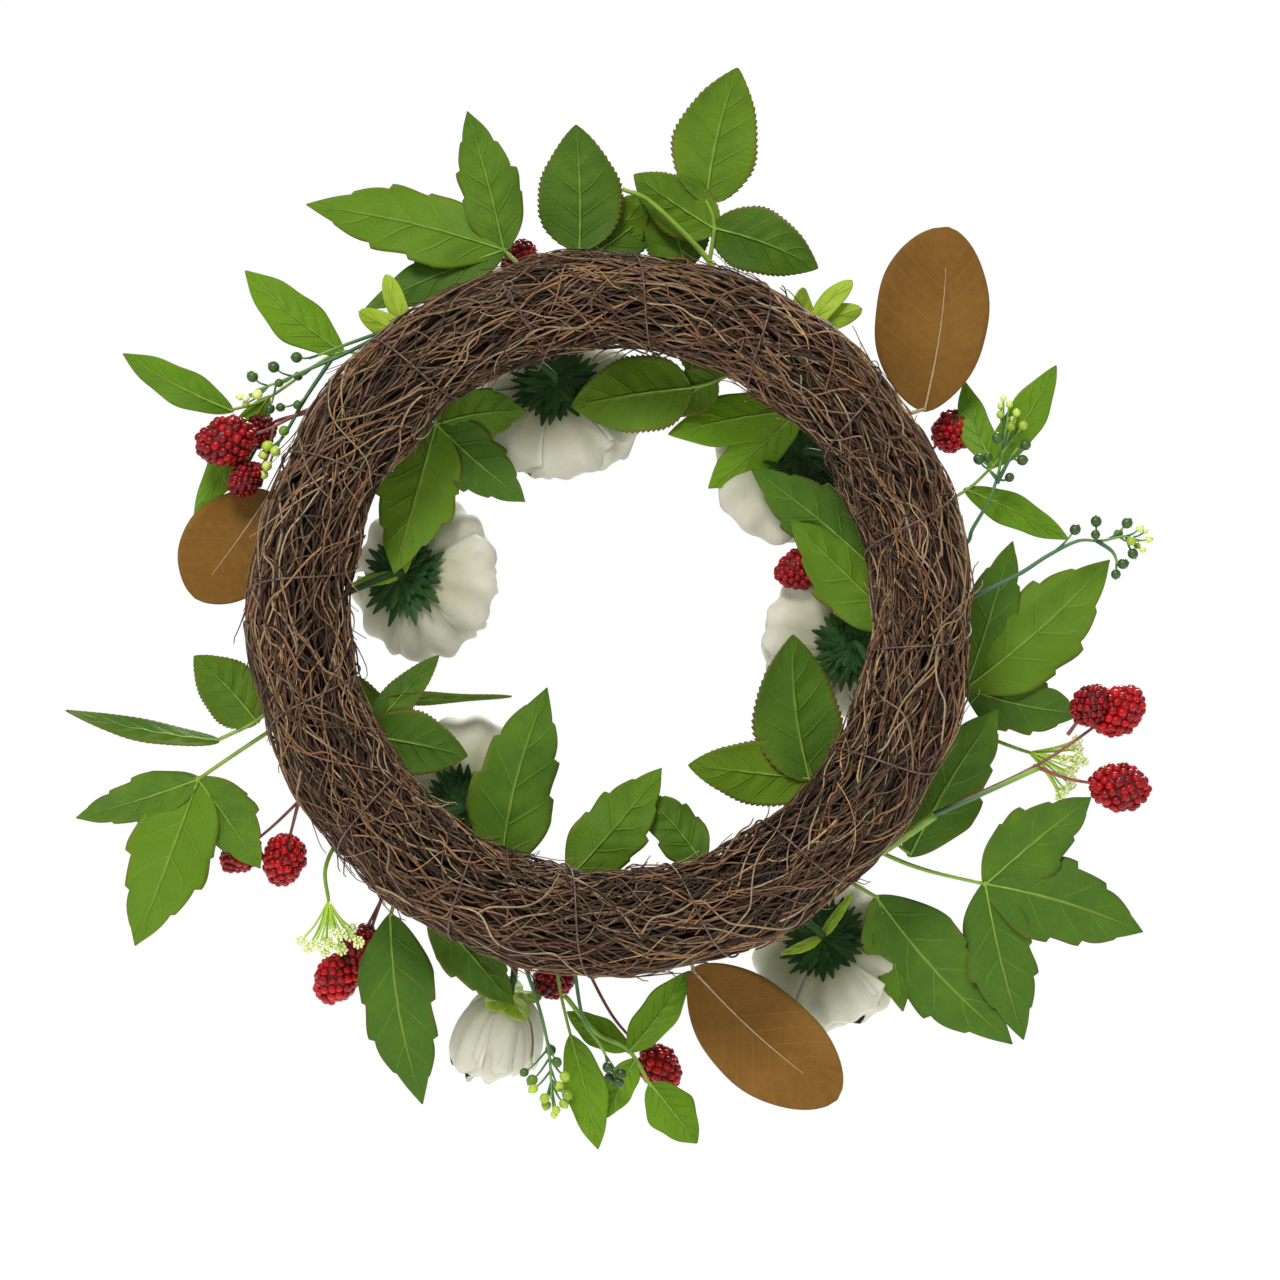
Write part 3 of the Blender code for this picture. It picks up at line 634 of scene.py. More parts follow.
for node, stem, blades in (
        ("peony_leaf_top_left", [(12, 168, 31), (16.5, 191, 31)],
         [(1, (37, 256, 26), 38, 8), (1, (16, 263, 24), 32, -8), (1, (39, 198, 36), 26, 14)]),
        ("peony_leaf_left", [(108, 168, 38), (110, 195, 38), (112, 226, 36)],
         [(2, (111, 290, 30), 24, 8), (2, (125, 294, 30), 44, -8), (2, (126, 220, 42), 32, 10)]),
        ("peony_leaf_bottom_right", [(227, 168, 31), (230, 200, 31), (234, 234, 30)],
         [(2, (249, 259, 25), 37, 10), (2, (239, 313, 24), 44, -8), (2, (224, 300, 27), 36, 8)]),
        ("peony_leaf_right", [(262, 168, 42), (258, 184, 42)],
         [(1, (280, 207, 38), 32, 8), (1, (276, 254, 36), 47, -8), (1, (258, 245, 46), 32, 8)]),
        ("peony_leaf_inner_left", [(38, 148, 31), (43, 130, 31)],
         [(1, (80, 111, 27), 42, 8), (1, (38, 71, 30), 32, -8), (1, (23, 111, 34), 30, 8)]),
        ("leaf_bottom_left", [(141, 168, 31), (144, 190, 31)],
         [(1, (159, 266, 26), 40, 8), ((149, 176, 28), (166, 204, 20), 30, -8)]),
        ("leaf_pair_bottom_right", [(220, 168, 38), (223, 198, 38)],
         [(1, (223, 298, 32), 46, 8), (1, (216, 250, 44), 28, -12)]),
        ("leaf_right_low", [(231, 168, 36), (231, 195, 36)],
         [(1, (256, 201, 34), 42, 8), (0, (236, 124, 56), 36, -8)]),
        ("front_leaf_spray", [(46, 158, 31), (46, 158, 42)],
         [(1, (24, 176, 52), 38, 8), (1, (68, 172, 54), 38, -8)]),
        ("leaf_pair_inner_right", [(267, 146, 31), (275, 140, 31), (280, 134, 31)],
         [(0, (297, 102, 27), 38, 8), (2, (316, 102, 31), 34, -8)]),
        ("leaf_spray_inner_bottom", [(157, 144, 31), (171, 136, 31), (186, 136, 31), (200, 136, 31)],
         [(0, (140, 50, 27), 44, 8), (1, (198, 83, 30), 35, -8), (3, (189, 92, 35), 26, 8)])):
    leaf_pick(node, stem, blades, PEONY, PEONY_LOOKS, GREEN_STALK,
              "top_left_spray" if node == "peony_leaf_top_left" else "wreath")

# ---- Rose foliage ----
# Rounder single leaves with a saw-toothed edge, moulded onto a short side-ribbed stalk.

ROSE = dict(MAGNOLIA, rows=140, fullness=0.60, point=0.90, wavy=0.02, fold=0.12, dish=0.12,
            veins=6.0, slant=1.3, teeth=23.0, tooth=0.07)
ROSE_LOOKS = (leaf_look("rose_leaf_face", (0.052, 0.135, 0.009), (0.024, 0.076, 0.006), (0.11, 0.22, 0.03),
                        ROSE, 0.36, 0.35, edging=0.7),
              leaf_look("rose_leaf_back", (0.092, 0.172, 0.005), (0.046, 0.104, 0.006), (0.18, 0.28, 0.035),
                        ROSE, 0.48, 0.28, edging=0.8))
for node, stem, blades, *extra in (
        ("rose_spray_top", [(344, 168, 30), (345, 201, 30), (347, 214, 30)],
         [(2, (347, 282, 24), 44, 8), (1, (357, 222, 32), 31, -12), (1, (329, 203, 30), 34, 10),
          ((348, 180, 44), (354, 216, 44), 34, 8), (0, (337, 122, 54), 38, 10)],
         ([(343, 170, 28), (344, 183, 27), (354, 207, 26), (358.5, 214, 26)], 1.6)),
        ("rose_spray_top_left", [(2, 168, 34), (4, 180, 34), (5, 185, 34)],
         [(2, (4, 247, 30), 44, -8), (1, (352, 216, 46), 28, 8), ((6, 176, 42), (355, 214, 38), 32, 8)]),
        ("rose_spray_left", [(104, 168, 31), (107, 188, 31), (108, 210, 31)],
         [(1, (96, 212, 28), 32, 10), (2, (101, 281, 26), 16, 50), (0, (112, 124, 54), 36, 8)]),
        ("rose_spray_inner_top", [(330, 148, 31), (336, 128, 31), (341, 120, 31)],
         [(2, (11, 106, 28), 42, 8), (1, (346, 104, 34), 24, 8)]),
        ("rose_spray_inner_right", [(226, 148, 31), (230, 131, 31)],
         [(1, (263, 92, 27), 46, 8), (1, (207, 86, 31), 34, -8)]),
        ("leaf_spray_inner_left", [(113, 148, 31), (117, 138, 31)],
         [(1, (135, 103, 28), 34, 8), (1, (104, 90, 31), 18, -8),
          ((111, 122, 34), (129, 65, 34), 15, 68)])):
    leaf_pick(node, stem, blades, ROSE, ROSE_LOOKS, GREEN_STALK, extra=extra)

# ---- Smooth foliage ----
# Small plain-edged pointed leaves of satin green plastic on thin branched stems.

SMOOTH = dict(MAGNOLIA, rows=36, fullness=0.85, point=0.98, wavy=0.06, waves=0.8, fold=0.22, dish=0.05,
              veins=7.0, slant=1.6)
SMOOTH_LOOKS = (
    leaf_look("smooth_leaf_face", (0.080, 0.185, 0.007), (0.045, 0.120, 0.005), (0.17, 0.30, 0.04),
              SMOOTH, 0.30, 0.3, edging=0.1),
    leaf_look("smooth_leaf_back", (0.112, 0.225, 0.004), (0.070, 0.160, 0.003), (0.28, 0.40, 0.07),
              SMOOTH, 0.40, 0.3, edging=0.1))
for node, stem, blades, *extra in (
        ("smooth_spray_upper_left", [(44, 168, 34), (46, 190, 34), (58, 205, 34), (62, 218, 32)],
         [(1, (47, 253, 28), 24, 10), (3, (62, 279, 26), 19, -10), (2, (77, 216, 38), 20, 10)]),
        ("smooth_spray_bottom", [(170, 168, 31), (172, 190, 31), (173.5, 205, 31), (174.6, 216, 31)],
         [(3, (178.7, 271, 26), 21, 10), ((184.8, 240, 30), (189.1, 272, 30), 24, -14),
          ((182.3, 222, 31), (192.3, 186, 36), 20, 14), ((182, 221, 31), (173.7, 204, 38), 15, 8),
          ((183, 227, 31), (179.4, 256, 35), 15, 0), ((171, 172, 34), (178, 122, 54), 24, 8)],
         ([(173, 195, 31), (178, 213, 31), (182.3, 222, 31), (184.8, 241, 30)], 1.3),
         ([(170, 170, 31), (171, 172, 34)], 0.9)),
        ("smooth_spray_inner_top", [(316, 152, 36), (317, 140, 36)],
         [(1, (342, 94, 36), 27, 8), (1, (322, 80, 40), 24, -8)]),
        ("smooth_spray_right", [(288, 168, 31), (289, 190, 31), (291, 207, 31)],
         [(2, (299, 257, 26), 20, 10), (1, (279, 234, 34), 17, -10), (2, (303, 214, 50), 16, 8),
          (0, (283, 146, 64), 22, 8)])):
    leaf_pick(node, stem, blades, SMOOTH, SMOOTH_LOOKS, GREEN_STALK, stem_r=0.9, extra=extra)

# ---- Peonies ----
# Cream latex-dipped fabric petals threaded on a wire, biggest outside: each is cupped, pleated
# from its foot and ruffled at the rim. A jagged dark green calyx and a stem hold them.

# where the bloom's back is, its radius, its stem's root, how open it is, how far it leans inwards
FLOWERS = (
    ((14, 118, 45), 44, (20, 146, 28.5), 0.95, 30.0), ((80, 106, 46), 47, (88, 146, 28.5), 0.72, 30.0),
    ((142, 124, 50), 42, (134, 150, 28.5), 0.9, 16.0), ((165, 201, 36), 31, (164, 176, 31), 0.25, -58.0),
    ((213, 200, 50), 45, (210, 168, 31), 0.72, -36.0), ((262, 122, 48), 42, (252, 150, 28.5), 0.9, 24.0),
    ((309, 124, 50), 42, (300, 150, 28.5), 0.92, 26.0))
# petals in a whorl, how far it opens, how high it stands, half a petal's angle, how it curls in
WHORLS = ((5, 1.03, 0.42, 0.76, 0.00), (5, 0.95, 0.60, 0.74, 0.04), (6, 0.83, 0.75, 0.62, 0.12),
          (6, 0.67, 0.85, 0.64, 0.20), (6, 0.50, 0.89, 0.68, 0.26), (5, 0.32, 0.89, 0.84, 0.22),
          (3, 0.15, 0.84, 1.25, 0.06))
BUD = 4
BUD_WHORLS = ((4, 1.06, 1.06, 1.02, 0.0), (4, 0.98, 1.10, 1.00, 0.0), (4, 0.66, 1.06, 1.00, 0.06))
# where a bloom's spur of lime leaflets starts, and each leaflet's tip and bend
LIME_TUFTS = {1: ((36, 174, 24), (((34, 205, 22), 0.1), ((40, 198, 23), -0.2))),
              7: ((325, 176, 40),
                  (((325, 207, 34), 0.35), ((320.5, 200, 40), 0.05), ((330, 190, 36), -0.25)))}
LIME_SEPALED = (2, 5)

latex = new_material("cream_petal")
petal_along, _ = latex.across()
crease = latex.noise(60.0, 5.0, 0.6)
fibre = latex.noise(500.0, 3.0, 0.6)
# Along the petal: a real green-yellow tint at the foot plus painted shade that makes the foot darker and
# greyer deep in the bloom, rising to cream at the rim.
cream = (petal_along + 0.7 * (crease - 0.5)).ramp(
    (0.0, (0.22, 0.25, 0.085)), (0.14, (0.34, 0.325, 0.19)),
    (0.5, (0.42, 0.41, 0.295)), (0.9, (0.525, 0.51, 0.40)))
PETAL = latex.finish("cream_petal", cream, 0.55 + 0.2 * crease, crease + 0.25 * fibre, 0.8,
                     Subsurface_Weight=0.25, Subsurface_Scale=0.006, Subsurface_Radius=(1.0, 0.95, 0.8),
                     Specular_IOR_Level=0.25)


def petal(foot, frame, azimuth, radius, whorl, openness, phase):
    """A petal's grid round the bloom's axis. Distance from the axis grows as the sine of the way
    up it, height as a power of it; the rim is notched by two waves, and folds run up from the
    foot and lift the rim in ruffles."""
    _, wide, high, spread, curl = whorl
    u = np.linspace(0.0, 1.0, 24)[:, None]
    v = np.linspace(-1.0, 1.0, 25)[None, :]
    rim = (0.3 + 0.7 * openness) * (0.034 * np.cos(math.pi * (2.3 * v + 2.0 * phase))
                                    + 0.020 * np.cos(math.pi * (4.1 * v - 3.0 * phase)))
    cut = u * (1.0 - (0.08 + 0.22 * openness - 0.3 * curl) * np.abs(v) ** 3 - rim)
    flare = np.sin(0.5 * math.pi * np.clip(cut, 0.0, 1.1)) ** 0.8
    fold = np.cos(math.pi * (2.9 * v + 1.3 * phase)) * cut**1.6 * (1.5 - 0.5 * openness)
    crimp = cut**5 * np.sin(math.pi * (3.7 * v + 5.0 * phase))
    reach = radius * (0.06 + (0.94 * wide * openness + 0.52 * wide * (1.0 - openness)) * flare
                      - (0.03 * (1.0 - openness) + curl) * np.abs(cut) ** 4.5
                      + 0.030 * fold + 0.014 * crimp)
    height = radius * (high * cut**1.7 * (1.0 + 0.3 * (1.0 - openness))
                       - 0.050 * fold + 0.035 * crimp - 0.02)
    angle = azimuth + spread * v * (0.86 + 0.14 * cut)
    first, second, axis = frame
    return (foot + (reach * np.cos(angle))[..., None] * first + (reach * np.sin(angle))[..., None] * second
            + height[..., None] * axis)


def spokes(foot, frame, count, reach, width, rise, shape, look, start=0.0):
    """Leaflets that stand round an axis: their reach runs between two lengths, and their tips
    stand this share of it up the axis."""
    parts = []
    for turn in 2.0 * math.pi * (np.arange(count) + 0.35 * rng.random(count)) / count + start:
        spoke = frame[0] * math.cos(turn) + frame[1] * math.sin(turn)
        length = rng.uniform(*reach) * MM
        grid = blade(foot + spoke * 0.3 * MM, foot + spoke * length + frame[2] * rise * length,
                     width, 0.0, shape, -0.05, rng.random(), 0.0, frame[2])
        parts.append((sheet(grid, 0.45), look, rng.random()))
    return parts


LEAFLET = dict(MAGNOLIA, rows=18, fullness=0.5, point=0.9, wavy=0.0, fold=0.3, dish=0.0,
               veins=3.0, slant=1.0, teeth=6.0, tooth=0.12)
SEPAL = dict(LEAFLET, tooth=0.0, fullness=0.55, point=0.62)
CALYX_LOOK = leaf_look("calyx_green", (0.030, 0.085, 0.018), (0.012, 0.042, 0.010), (0.08, 0.17, 0.03),
                       LEAFLET, 0.45, 0.3, edging=0.0)
SEPAL_LOOK = leaf_look("lime_sepal", (0.30, 0.42, 0.030), (0.20, 0.33, 0.02), (0.45, 0.55, 0.10),
                       LEAFLET, 0.42, 0.35, edging=0.0)

for number, (place, radius, root, openness, lean) in enumerate(FLOWERS, 1):
    foot = at(*place)
    inward = unit(RING_CENTRE - at(place[0], place[1], 0.0))
    axis = np.array((0.0, -1.0, 0.0)) * math.cos(math.radians(lean)) + inward * math.sin(math.radians(lean))
    first = unit(np.cross(axis, (0.12, 0.05, 1.0)))
    frame_axes = (first, np.cross(axis, first), axis)
    petals = []
    for level, whorl in enumerate(BUD_WHORLS if number == BUD else WHORLS):
        for index in range(whorl[0]):
            azimuth = 2.0 * math.pi * (index + 0.5 * level + 0.30 * rng.random()) / whorl[0]
            own = np.array(whorl) * (1.0, rng.uniform(0.88, 1.06), rng.uniform(0.86, 1.08), 1.0,
                                     rng.uniform(0.6, 1.3))
            grid = petal(foot + axis * 0.9 * MM * level, frame_axes, azimuth, radius * MM, own,
                         openness, rng.random())
            petals.append((sheet(grid, 0.5), PETAL, rng.random()))
    bloom = new_piece(f"peony_{number}_petals", petals)
    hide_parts(f"flower_head_{number}")

    back = foot - axis * 0.075 * radius * MM
    if number == BUD:
        cup = spokes(back, frame_axes, 5, (0.52 * radius, 0.66 * radius), 0.40 * radius, 0.22,
                     SEPAL, SEPAL_LOOK)
    else:
        cup = spokes(back, frame_axes, 30, (0.44 * radius, 0.58 * radius), 0.13 * radius, 0.04,
                     LEAFLET, CALYX_LOOK)
        cup += spokes(back - axis * 1.6 * MM, frame_axes, 21, (0.26 * radius, 0.44 * radius),
                      0.12 * radius, -0.03, LEAFLET, CALYX_LOOK)
    if number in LIME_SEPALED:
        cup += spokes(back - axis * 3.0 * MM, frame_axes, 2, (0.5 * radius, 0.62 * radius),
                      0.14 * radius, -0.3, LEAFLET, SEPAL_LOOK, number)
    if number in LIME_TUFTS:
        tuft, leaflets = LIME_TUFTS[number]
        spur = through([foot - axis * 3.0 * MM, at(*root) - (0.0, 27.0 * MM, 0.0), at(*tuft)], 26)
        cup.append((rings_along(spur[None], 1.3 * MM * np.ones(26), 8), SEPAL_LOOK, 0.5))
        for index, (tip, bend) in enumerate(leaflets):
            grid = blade(at(*tuft), at(*tip), 12.0, 30.0 * index - 30.0, SEPAL, bend, 0.9)
            cup.append((sheet(grid), SEPAL_LOOK, 0.8))
    stalk_path = through([at(*led_in(root)), at(*root)]
                         + [foot + axis * ahead * MM for ahead in (-13.0, -5.0, 1.0)], 33)
    swelling = np.interp(np.linspace(0.0, 1.0, 33), (0.0, 0.7, 0.89, 1.0),
                         (1.7, 1.9, 0.08 * radius, 0.13 * radius))
    cup.append((rings_along(stalk_path[None], swelling * MM, 10), CALYX_LOOK, 0.5))
    calyx = new_piece(f"peony_{number}_calyx", cup)
    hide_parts(f"flower_calyx_{number}")

# ---- Raspberries ----
# Moulded berries of glossy red drupelets packed round a dark core, each with a small green star,
# on forked red-brown wired stems. The core's dark red is painted shade in the gaps between drupelets.

DRUPES = 88
DRUPE_SHARE = 0.195

gloss = new_material("raspberry_red")
RED = gloss.finish("raspberry_red", gloss.attribute("tone").ramp(
    (0.0, (0.07, 0.001, 0.002)), (0.5, (0.23, 0.001, 0.003)), (1.0, (0.42, 0.003, 0.005))),
    0.22 + 0.15 * gloss.noise(300.0), gloss.noise(900.0), 0.05, Specular_IOR_Level=0.26)
# The core shows only in the gaps between drupelets; its dark red is painted shade there.
core = new_material("raspberry_core")
core_red_painted_shade = core.noise(400.0).ramp((0.3, (0.04, 0.002, 0.003)), (0.7, (0.08, 0.003, 0.005)))
CORE = core.finish("raspberry_core", core_red_painted_shade, 0.5)
bark_red = new_material("red_stalk")
RED_STALK = bark_red.finish("red_stalk", bark_red.noise(200.0).ramp(
    (0.3, (0.11, 0.025, 0.018)), (0.7, (0.24, 0.065, 0.045))), 0.5, bark_red.noise(600.0), 0.15)
wired = new_material("sprig_stalk")
wired_along, _ = wired.across()
WIRED_STALK = wired.finish("sprig_stalk", (wired_along + 0.2 * (wired.noise(120.0) - 0.5)).ramp(
    (0.0, (0.018, 0.080, 0.036)), (0.45, (0.040, 0.130, 0.035)), (0.9, (0.17, 0.30, 0.03))), 0.45,
    wired.noise(500.0), 0.12)


def balls(centres, radii, rings=6, sides=7, stretch=1.0, axis=(0.0, 1.0, 0.0)):
    """Small balls as turned rings: radius the sine, height the cosine, of the way down."""
    centres = np.atleast_2d(centres)
    axis = unit(np.asarray(axis, float))
    first = unit(np.cross(axis, (0.31, 0.12, 0.95)))
    second = np.cross(axis, first)
    down = np.radians(np.linspace(172.0, 8.0, rings))[:, None, None]
    turn = np.linspace(0.0, 2.0 * math.pi, sides, endpoint=False)[None, :, None]
    ball = np.sin(down) * (np.cos(turn) * first + np.sin(turn) * second) + stretch * np.cos(down) * axis
    return centres[:, None, None, :] + ball * np.broadcast_to(radii, (len(centres),))[:, None, None, None]


def spiral_directions(count):
    """Directions spread evenly over a ball along a golden spiral."""
    index = np.arange(count) + 0.5
    down = np.arccos(1.0 - 2.0 * index / count)
    turn = math.pi * (1.0 + 5.0**0.5) * index
    return np.stack((np.cos(turn) * np.sin(down), np.sin(turn) * np.sin(down), np.cos(down)), -1)


def berry_pick(node, branches, body="wreath", stem_r=0.85, sleeves=()):
    """Forked stems, and a berry at each end: drupelets on an egg that is slimmer at its tip. A
    sleeve is (places, radius, material) round the stem's lower part."""
    parts = [(rings_along(through(at(*np.array(places, float).T), 20)[None], radius * MM * np.ones(20), 10),
              look, 0.5) for places, radius, look in sleeves]
    for branch, (stem, radius, ripeness) in enumerate(branches):
        wedged = [led_in(stem[0])] * (body == "wreath" and branch == 0)
        places = at(*np.array(wedged + stem, float).T)
        run = unit(places[-1] - places[-2])
        radius = radius * MM
        path = through(np.concatenate((places[:-1], [places[-1] - run * 0.7 * radius])), 28)
        parts.append((rings_along(path[None], stem_r * MM * np.linspace(1.2, 0.8, 28), 8), RED_STALK, 0.5))
        first = unit(np.cross(run, (0.2, 0.1, 0.97)))
        frame_axes = np.stack((first, np.cross(run, first), run))
        egg = spiral_directions(DRUPES) + rng.normal(0.0, 0.035, (DRUPES, 3))
        slimmer = 0.10 * np.clip(egg[:, 2:], 0.0, 1.0) * (1.0, 1.0, 0.0)
        egg = egg * (0.80 - slimmer + (0.0, 0.0, 0.22)) * radius
        drupes = balls(places[-1] + egg @ frame_axes,
                       DRUPE_SHARE * radius * rng.uniform(0.85, 1.12, DRUPES), axis=run)
        parts.append((drupes, RED, np.clip(ripeness + rng.uniform(-0.3, 0.3, DRUPES), 0.0, 1.0)))
        parts.append((balls(places[-1], 0.80 * radius, 12, 16, 1.2, run), CORE, 0.5))
        parts += spokes(places[-1] - run * 1.08 * radius, frame_axes, 5,
                        (0.55 * radius / MM, 0.75 * radius / MM), 0.26 * radius / MM, 0.45,
                        LEAFLET, CALYX_LOOK)
    piece = new_piece(node + "_berries", parts, body)
    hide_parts(node)


berry_pick("raspberry_pick_left", [([(55, 180, 18), (62, 196, 18), (66, 212, 18)], 13.5, 0.45),
                                   ([(61, 194, 18), (66, 190, 17), (70, 196, 20)], 9, 0.25),
                                   ([(57, 184, 18), (60, 194, 26), (63, 201, 32)], 9, 0.15)])
berry_pick("raspberry_pick_lower_left", [([(120, 172, 50), (122, 200, 54), (123, 226, 58)], 10, 0.5),
                                         ([(121, 186, 52), (127, 210, 62)], 12, 0.7)])
berry_pick("raspberry_pick_bottom_left", [([(140, 168, 44), (142, 200, 46), (143, 233, 48)], 12, 0.8),
                                          ([(141, 185, 45), (144, 216, 50)], 14, 0.2)])
berry_pick("raspberry_pick_bottom", [([(174, 170, 50), (180, 205, 52), (186, 233, 52)], 11, 0.6),
                                     ([(176, 180, 51), (171, 190, 56)], 10, 0.3)])
berry_pick("raspberry_pick_right",
           [([(222, 175, 25), (237, 190, 20), (250, 227, 18), (259, 260, 18)], 13, 0.75),
            ([(250, 226, 18), (250, 245, 17), (251, 271, 18)], 13, 0.6),
            ([(255, 238, 18), (259, 245, 12)], 10, 0.3)], "right_raspberries", 0.9,
           [([(222, 175, 25), (229, 182, 23), (238, 192, 20)], 2.8, GREEN_STALK),
            ([(237, 190, 20), (244, 208, 19), (250, 229, 18)], 1.5, WIRED_STALK)])
berry_pick("raspberry_pick_top_right", [([(296, 170, 50), (298, 198, 50)], 11, 0.6)])
berry_pick("raspberry_pick_top", [([(18, 168, 52), (14.5, 185, 54)], 10, 0.4)])
berry_pick("raspberry_pick_inner_right", [([(284, 150, 40), (283, 98, 40)], 11, 0.5)])

# ---- Green berry sprigs and lace flowers ----
# Glossy beads on wired stems, dark green with paler unripe ones at the tips; lace flowers are
# loose heads of tiny pale beads on lime rays. The stems go from blue-green to lime.

bead = new_material("green_bead")
GREEN_BEAD = bead.finish("green_bead", bead.attribute("tone").ramp(
    (0.0, (0.020, 0.040, 0.010)), (0.3, (0.045, 0.105, 0.012)), (0.6, (0.13, 0.24, 0.015)),
    (0.75, (0.36, 0.48, 0.04)), (0.9, (0.62, 0.70, 0.20)), (1.0, (0.80, 0.84, 0.58))),
    0.3 + 0.1 * bead.noise(300.0), bead.noise(500.0), 0.08, Specular_IOR_Level=0.4)


def sprig(node, spines, beads, body="wreath"):
    """Spines, and beads as (clock, reach, depth, radius, ripeness): a short stalk leaves the
    nearest spine a little way back from each bead, and a dark bud sits at the bead's end."""
    paths = [through(at(*np.array(spine, float).T), 40) for spine in spines]
    parts = [(rings_along(path[None], MM * np.linspace(1.15, 0.6, 40), 8), WIRED_STALK, 0.5)
             for path in paths]
    for *place, radius, ripeness in beads:
        end = at(*place)
        away = [np.linalg.norm(path - end, axis=1).min() for path in paths]
        path = paths[int(np.argmin(away))]
        start = path[max(0, int(np.argmin(np.linalg.norm(path - end, axis=1))) - 5)]
        belly = 0.45 * start + 0.55 * end + np.array((0.0, 0.0, -1.0 * MM))
        stalk = through([start, belly, end], 12)
        parts.append((rings_along(stalk[None], MM * np.linspace(0.6, 0.45, 12), 6), WIRED_STALK, 0.5))
        run = unit(end - belly)
        parts.append((balls(end, radius * MM, 9, 12, 1.05, run), GREEN_BEAD, ripeness))
        bud = balls(end + run * 1.02 * radius * MM, 0.2 * radius * MM, 5, 6, 1.0, run)
        parts.append((bud, WIRED_STALK, 0.5))
    piece = new_piece(node + "_beads", parts, body)
    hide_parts(node)


sprig("green_sprig_left",
      [[(34, 178, 12), (45, 186, 20), (51, 195, 20), (55, 203, 20), (58, 211, 19)], [(34, 177, 16),
       (44, 189, 24), (50, 199, 23)], [(48, 190, 21), (55, 188, 19), (60, 187, 18), (64, 188, 17),
       (67, 187, 16)]],
      [(51, 204, 20, 2.8, 0.2), (54, 210, 18, 2.9, 0.15), (56.7, 216, 17, 2.9, 0.25),
       (55.4, 203, 16, 2.2, 0.3), (59.8, 216, 18, 2.0, 0.92), (59.6, 213, 16, 1.9, 0.95),
       (60.3, 212, 20, 1.8, 0.85), (58.4, 209, 17, 2.6, 0.88), (53, 198, 25, 2.4, 0.1),
       (59.2, 200, 17, 2.6, 0.1), (58.2, 196, 20, 2.3, 0.2), (56.5, 189, 15, 2.4, 0.3),
       (61, 188, 14, 2.7, 0.55), (64.2, 192, 15, 2.8, 0.75), (64.4, 187, 12, 2.7, 0.78),
       (65.6, 192, 18, 2.6, 0.8), (67, 188, 14, 2.6, 0.82), (68.4, 188, 17, 2.3, 0.85)])
sprig("green_sprig_top_right",
      [[(279, 166, 10), (281, 182, 16), (283, 187, 22), (286.6, 199, 22), (290, 208, 22),
       (292.8, 214, 21), (296.2, 223, 20)], [(288.5, 205, 22), (291, 215, 20), (292, 221, 19)],
       [(289, 206, 22), (291, 203, 20)]],
      [(292.6, 200.4, 18, 2.8, 0.15), (292.3, 205, 20, 2.5, 0.2), (294.3, 213, 17, 2.8, 0.3),
       (292, 225, 19, 2.8, 0.2), (290.3, 220.7, 18, 2.8, 0.2), (288.7, 211.7, 18, 2.4, 0.1),
       (296.9, 219.8, 19, 2.0, 0.72), (297.6, 226.3, 20, 1.9, 0.85), (296.2, 227.4, 18, 2.0, 0.8),
       (294.4, 227.8, 19, 2.3, 0.7), (297.9, 222.3, 21, 1.8, 0.85), (294.9, 221.7, 16, 2.2, 0.65),
       (298.6, 225, 19, 1.6, 0.9), (295.6, 224.5, 23, 2.0, 0.8)])
sprig("green_sprig_right",
      [[(272, 180, 22), (275.3, 206, 20), (277.4, 222, 20), (278.7, 238, 19), (278.3, 249, 18),
       (278.4, 261, 17), (277.6, 268, 16)], [(278.4, 247, 18), (276.9, 254, 17), (275.4, 256, 16)]],
      [(280.1, 237.2, 17, 2.8, 0.15), (280.6, 248.2, 16, 2.8, 0.15), (279.1, 246.6, 14, 2.4, 0.2),
       (279.8, 263.4, 16, 2.8, 0.25), (278.8, 258.5, 20, 2.4, 0.5), (276.4, 264.2, 17, 2.7, 0.2),
       (275.4, 258.7, 16, 2.8, 0.15), (274.3, 254.7, 17, 2.5, 0.2), (279, 269.3, 16, 1.8, 0.9),
       (277.7, 273, 15, 1.9, 0.85), (277.8, 264, 14, 2.4, 0.7), (276.7, 269.3, 16, 1.6, 0.85),
       (278.6, 272, 18, 1.4, 0.9), (277.2, 267, 19, 1.8, 0.8)], "right_sprig")
sprig("green_sprig_bottom",
      [[(163, 164, 12), (165, 178, 20), (167, 187, 20), (170, 205, 20), (171.8, 222, 20),
       (172.6, 236, 19), (173, 247, 18)], [(172, 164, 12), (174, 180, 22), (176, 205, 22),
       (178.5, 218, 21), (180, 229, 20)]],
      [(170.4, 239, 18, 2.9, 0.45), (170.7, 243, 16, 2.5, 0.74), (173.1, 228, 16, 2.6, 0.3),
       (174.3, 235, 18, 2.7, 0.7), (173.7, 240.5, 20, 2.7, 0.74), (174.8, 244, 17, 2.7, 0.62),
       (172.2, 246.8, 16, 2.6, 0.7), (172.5, 250.6, 20, 2.5, 0.66), (173.7, 252, 17, 2.2, 0.74),
       (174.5, 248.7, 19, 2.5, 0.7), (173.5, 254.7, 18, 1.8, 0.78), (169.3, 236, 20, 2.3, 0.3),
       (172.1, 223, 24, 2.8, 0.05), (179.6, 229, 16, 2.9, 0.05), (181.2, 232.5, 18, 2.9, 0.05),
       (180.9, 237, 20, 2.8, 0.1), (179.8, 235, 24, 2.8, 0.1)])


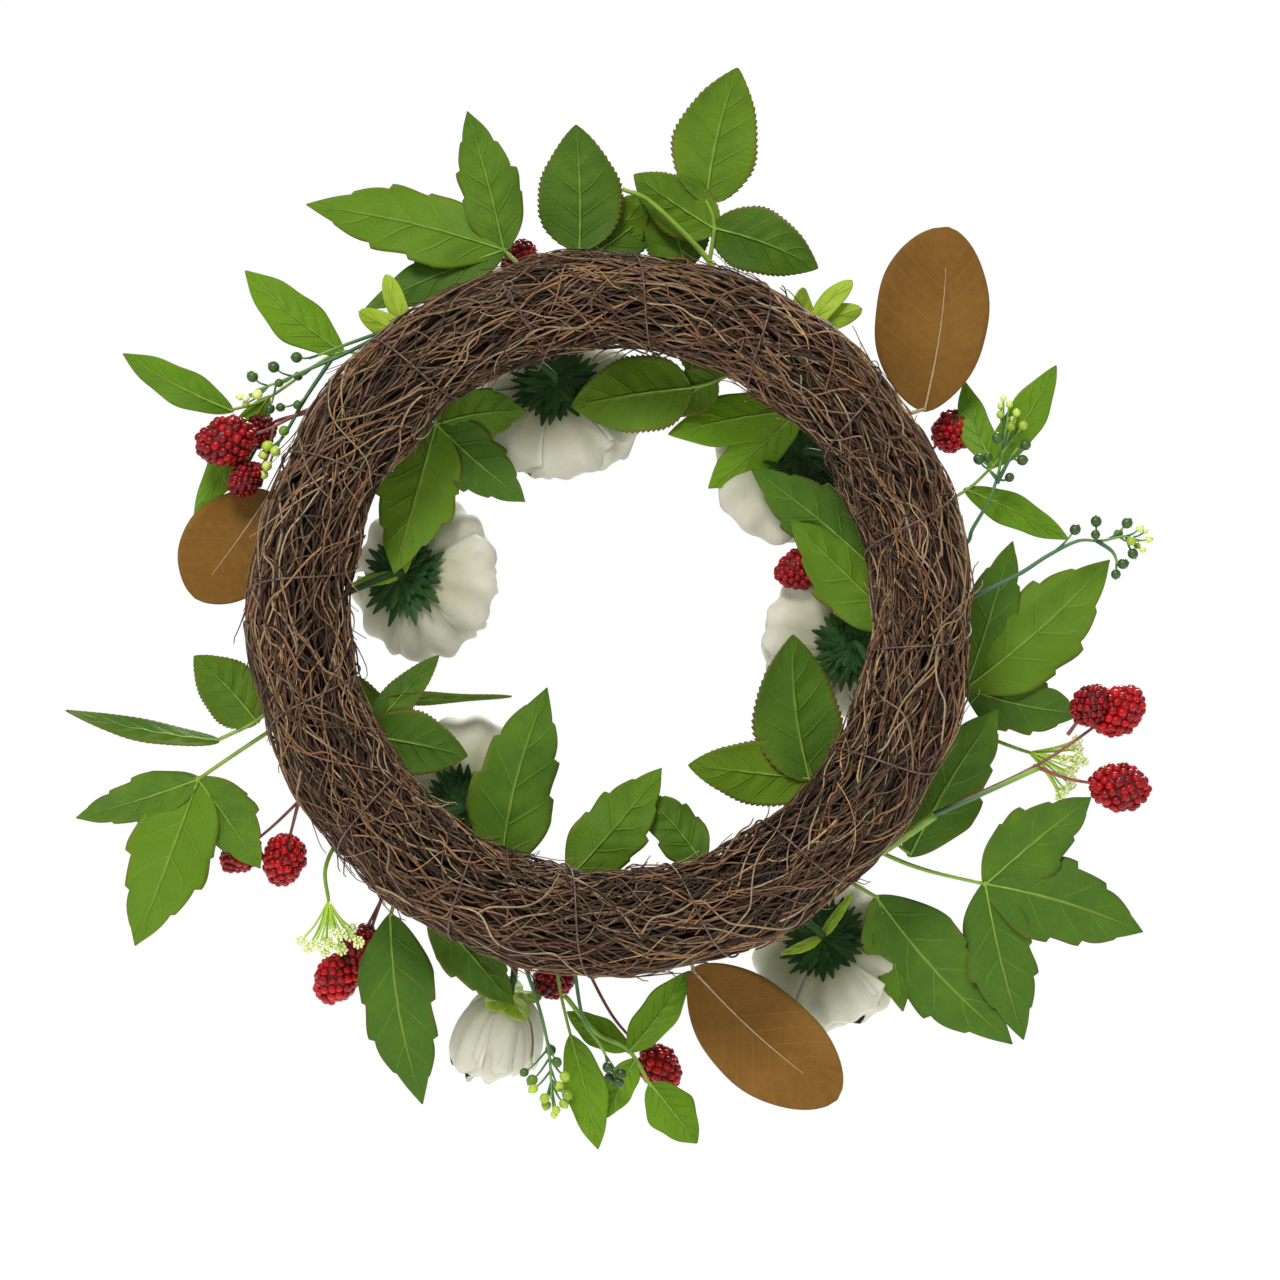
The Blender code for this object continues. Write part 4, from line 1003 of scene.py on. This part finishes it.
def lace(node, stem, radius, count=17):
    """A loose head: rays fan from a hub short of the stem's end, each with a tuft of tiny beads."""
    places = at(*np.array([led_in(stem[0])] + stem, float).T)
    run = unit(places[-1] - places[-2])
    first = unit(np.cross(run, (0.0, 1.0, 0.0)))
    second = np.cross(run, first)
    hub = places[-1] - run * 1.2 * radius * MM
    path = through(np.concatenate((places[:-1], [hub])), 26)
    parts = [(rings_along(path[None], MM * np.linspace(1.3, 0.9, 26), 8), GREEN_STALK, 0.5)]
    for index in range(count):
        turn = 2.4 * index
        away = radius * MM * math.sqrt((index + 0.5) / count)
        tip = (hub + run * (rng.uniform(1.15, 1.6) * radius * MM - 0.35 * away)
               + away * (math.cos(turn) * first + math.sin(turn) * second))
        middle = 0.5 * (hub + tip) + run * 0.12 * away
        ray_path = through([hub, middle, tip], 8)
        parts.append((rings_along(ray_path[None], 0.6 * MM * np.ones(8), 5), LIME_RAY, 0.5))
        tuft = tip + spiral_directions(14) * 2.3 * MM
        parts.append((balls(tuft, 0.85 * MM * rng.uniform(0.8, 1.2, 14), 5, 6), GREEN_BEAD,
                      rng.uniform(0.88, 1.0, 14)))
    piece = new_piece(node + "_head", parts)
    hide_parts(node)


ray = new_material("lime_ray")
lime = ray.noise(200.0).ramp((0.3, (0.28, 0.46, 0.02)), (0.7, (0.38, 0.55, 0.04)))
LIME_RAY = ray.finish("lime_ray", lime, 0.45, ray.noise(500.0), 0.1)
lace("lace_flower_left", [(130, 180, 24), (132, 194, 22), (140, 218, 20)], 18)
lace("lace_flower_right", [(252, 180, 60), (251.5, 215, 60), (251.5, 248, 58)], 19)

# ---- Wires of the four picks that bend ----
# The four picks that stand clear bend where their wires leave the twigs: the lower end of each
# covered wire stays wedged in the bundle.

BENDING = (((305, 168, 31), TAN_STALK), ((12, 168, 31), GREEN_STALK), ((222, 174, 24), GREEN_STALK),
           ((272, 180, 22), WIRED_STALK))
WIRE_GAP = 0.8
stubs = []
for place, look in BENDING:
    start = at(*led_in(place))
    end = at(*place) - unit(at(*place) - start) * WIRE_GAP * MM
    stubs.append((rings_along(np.linspace(start, end, 8)[None], STEM_R * MM * np.ones(8), 8), look, 0.5))
stub_piece = new_piece("pick_wires", stubs)
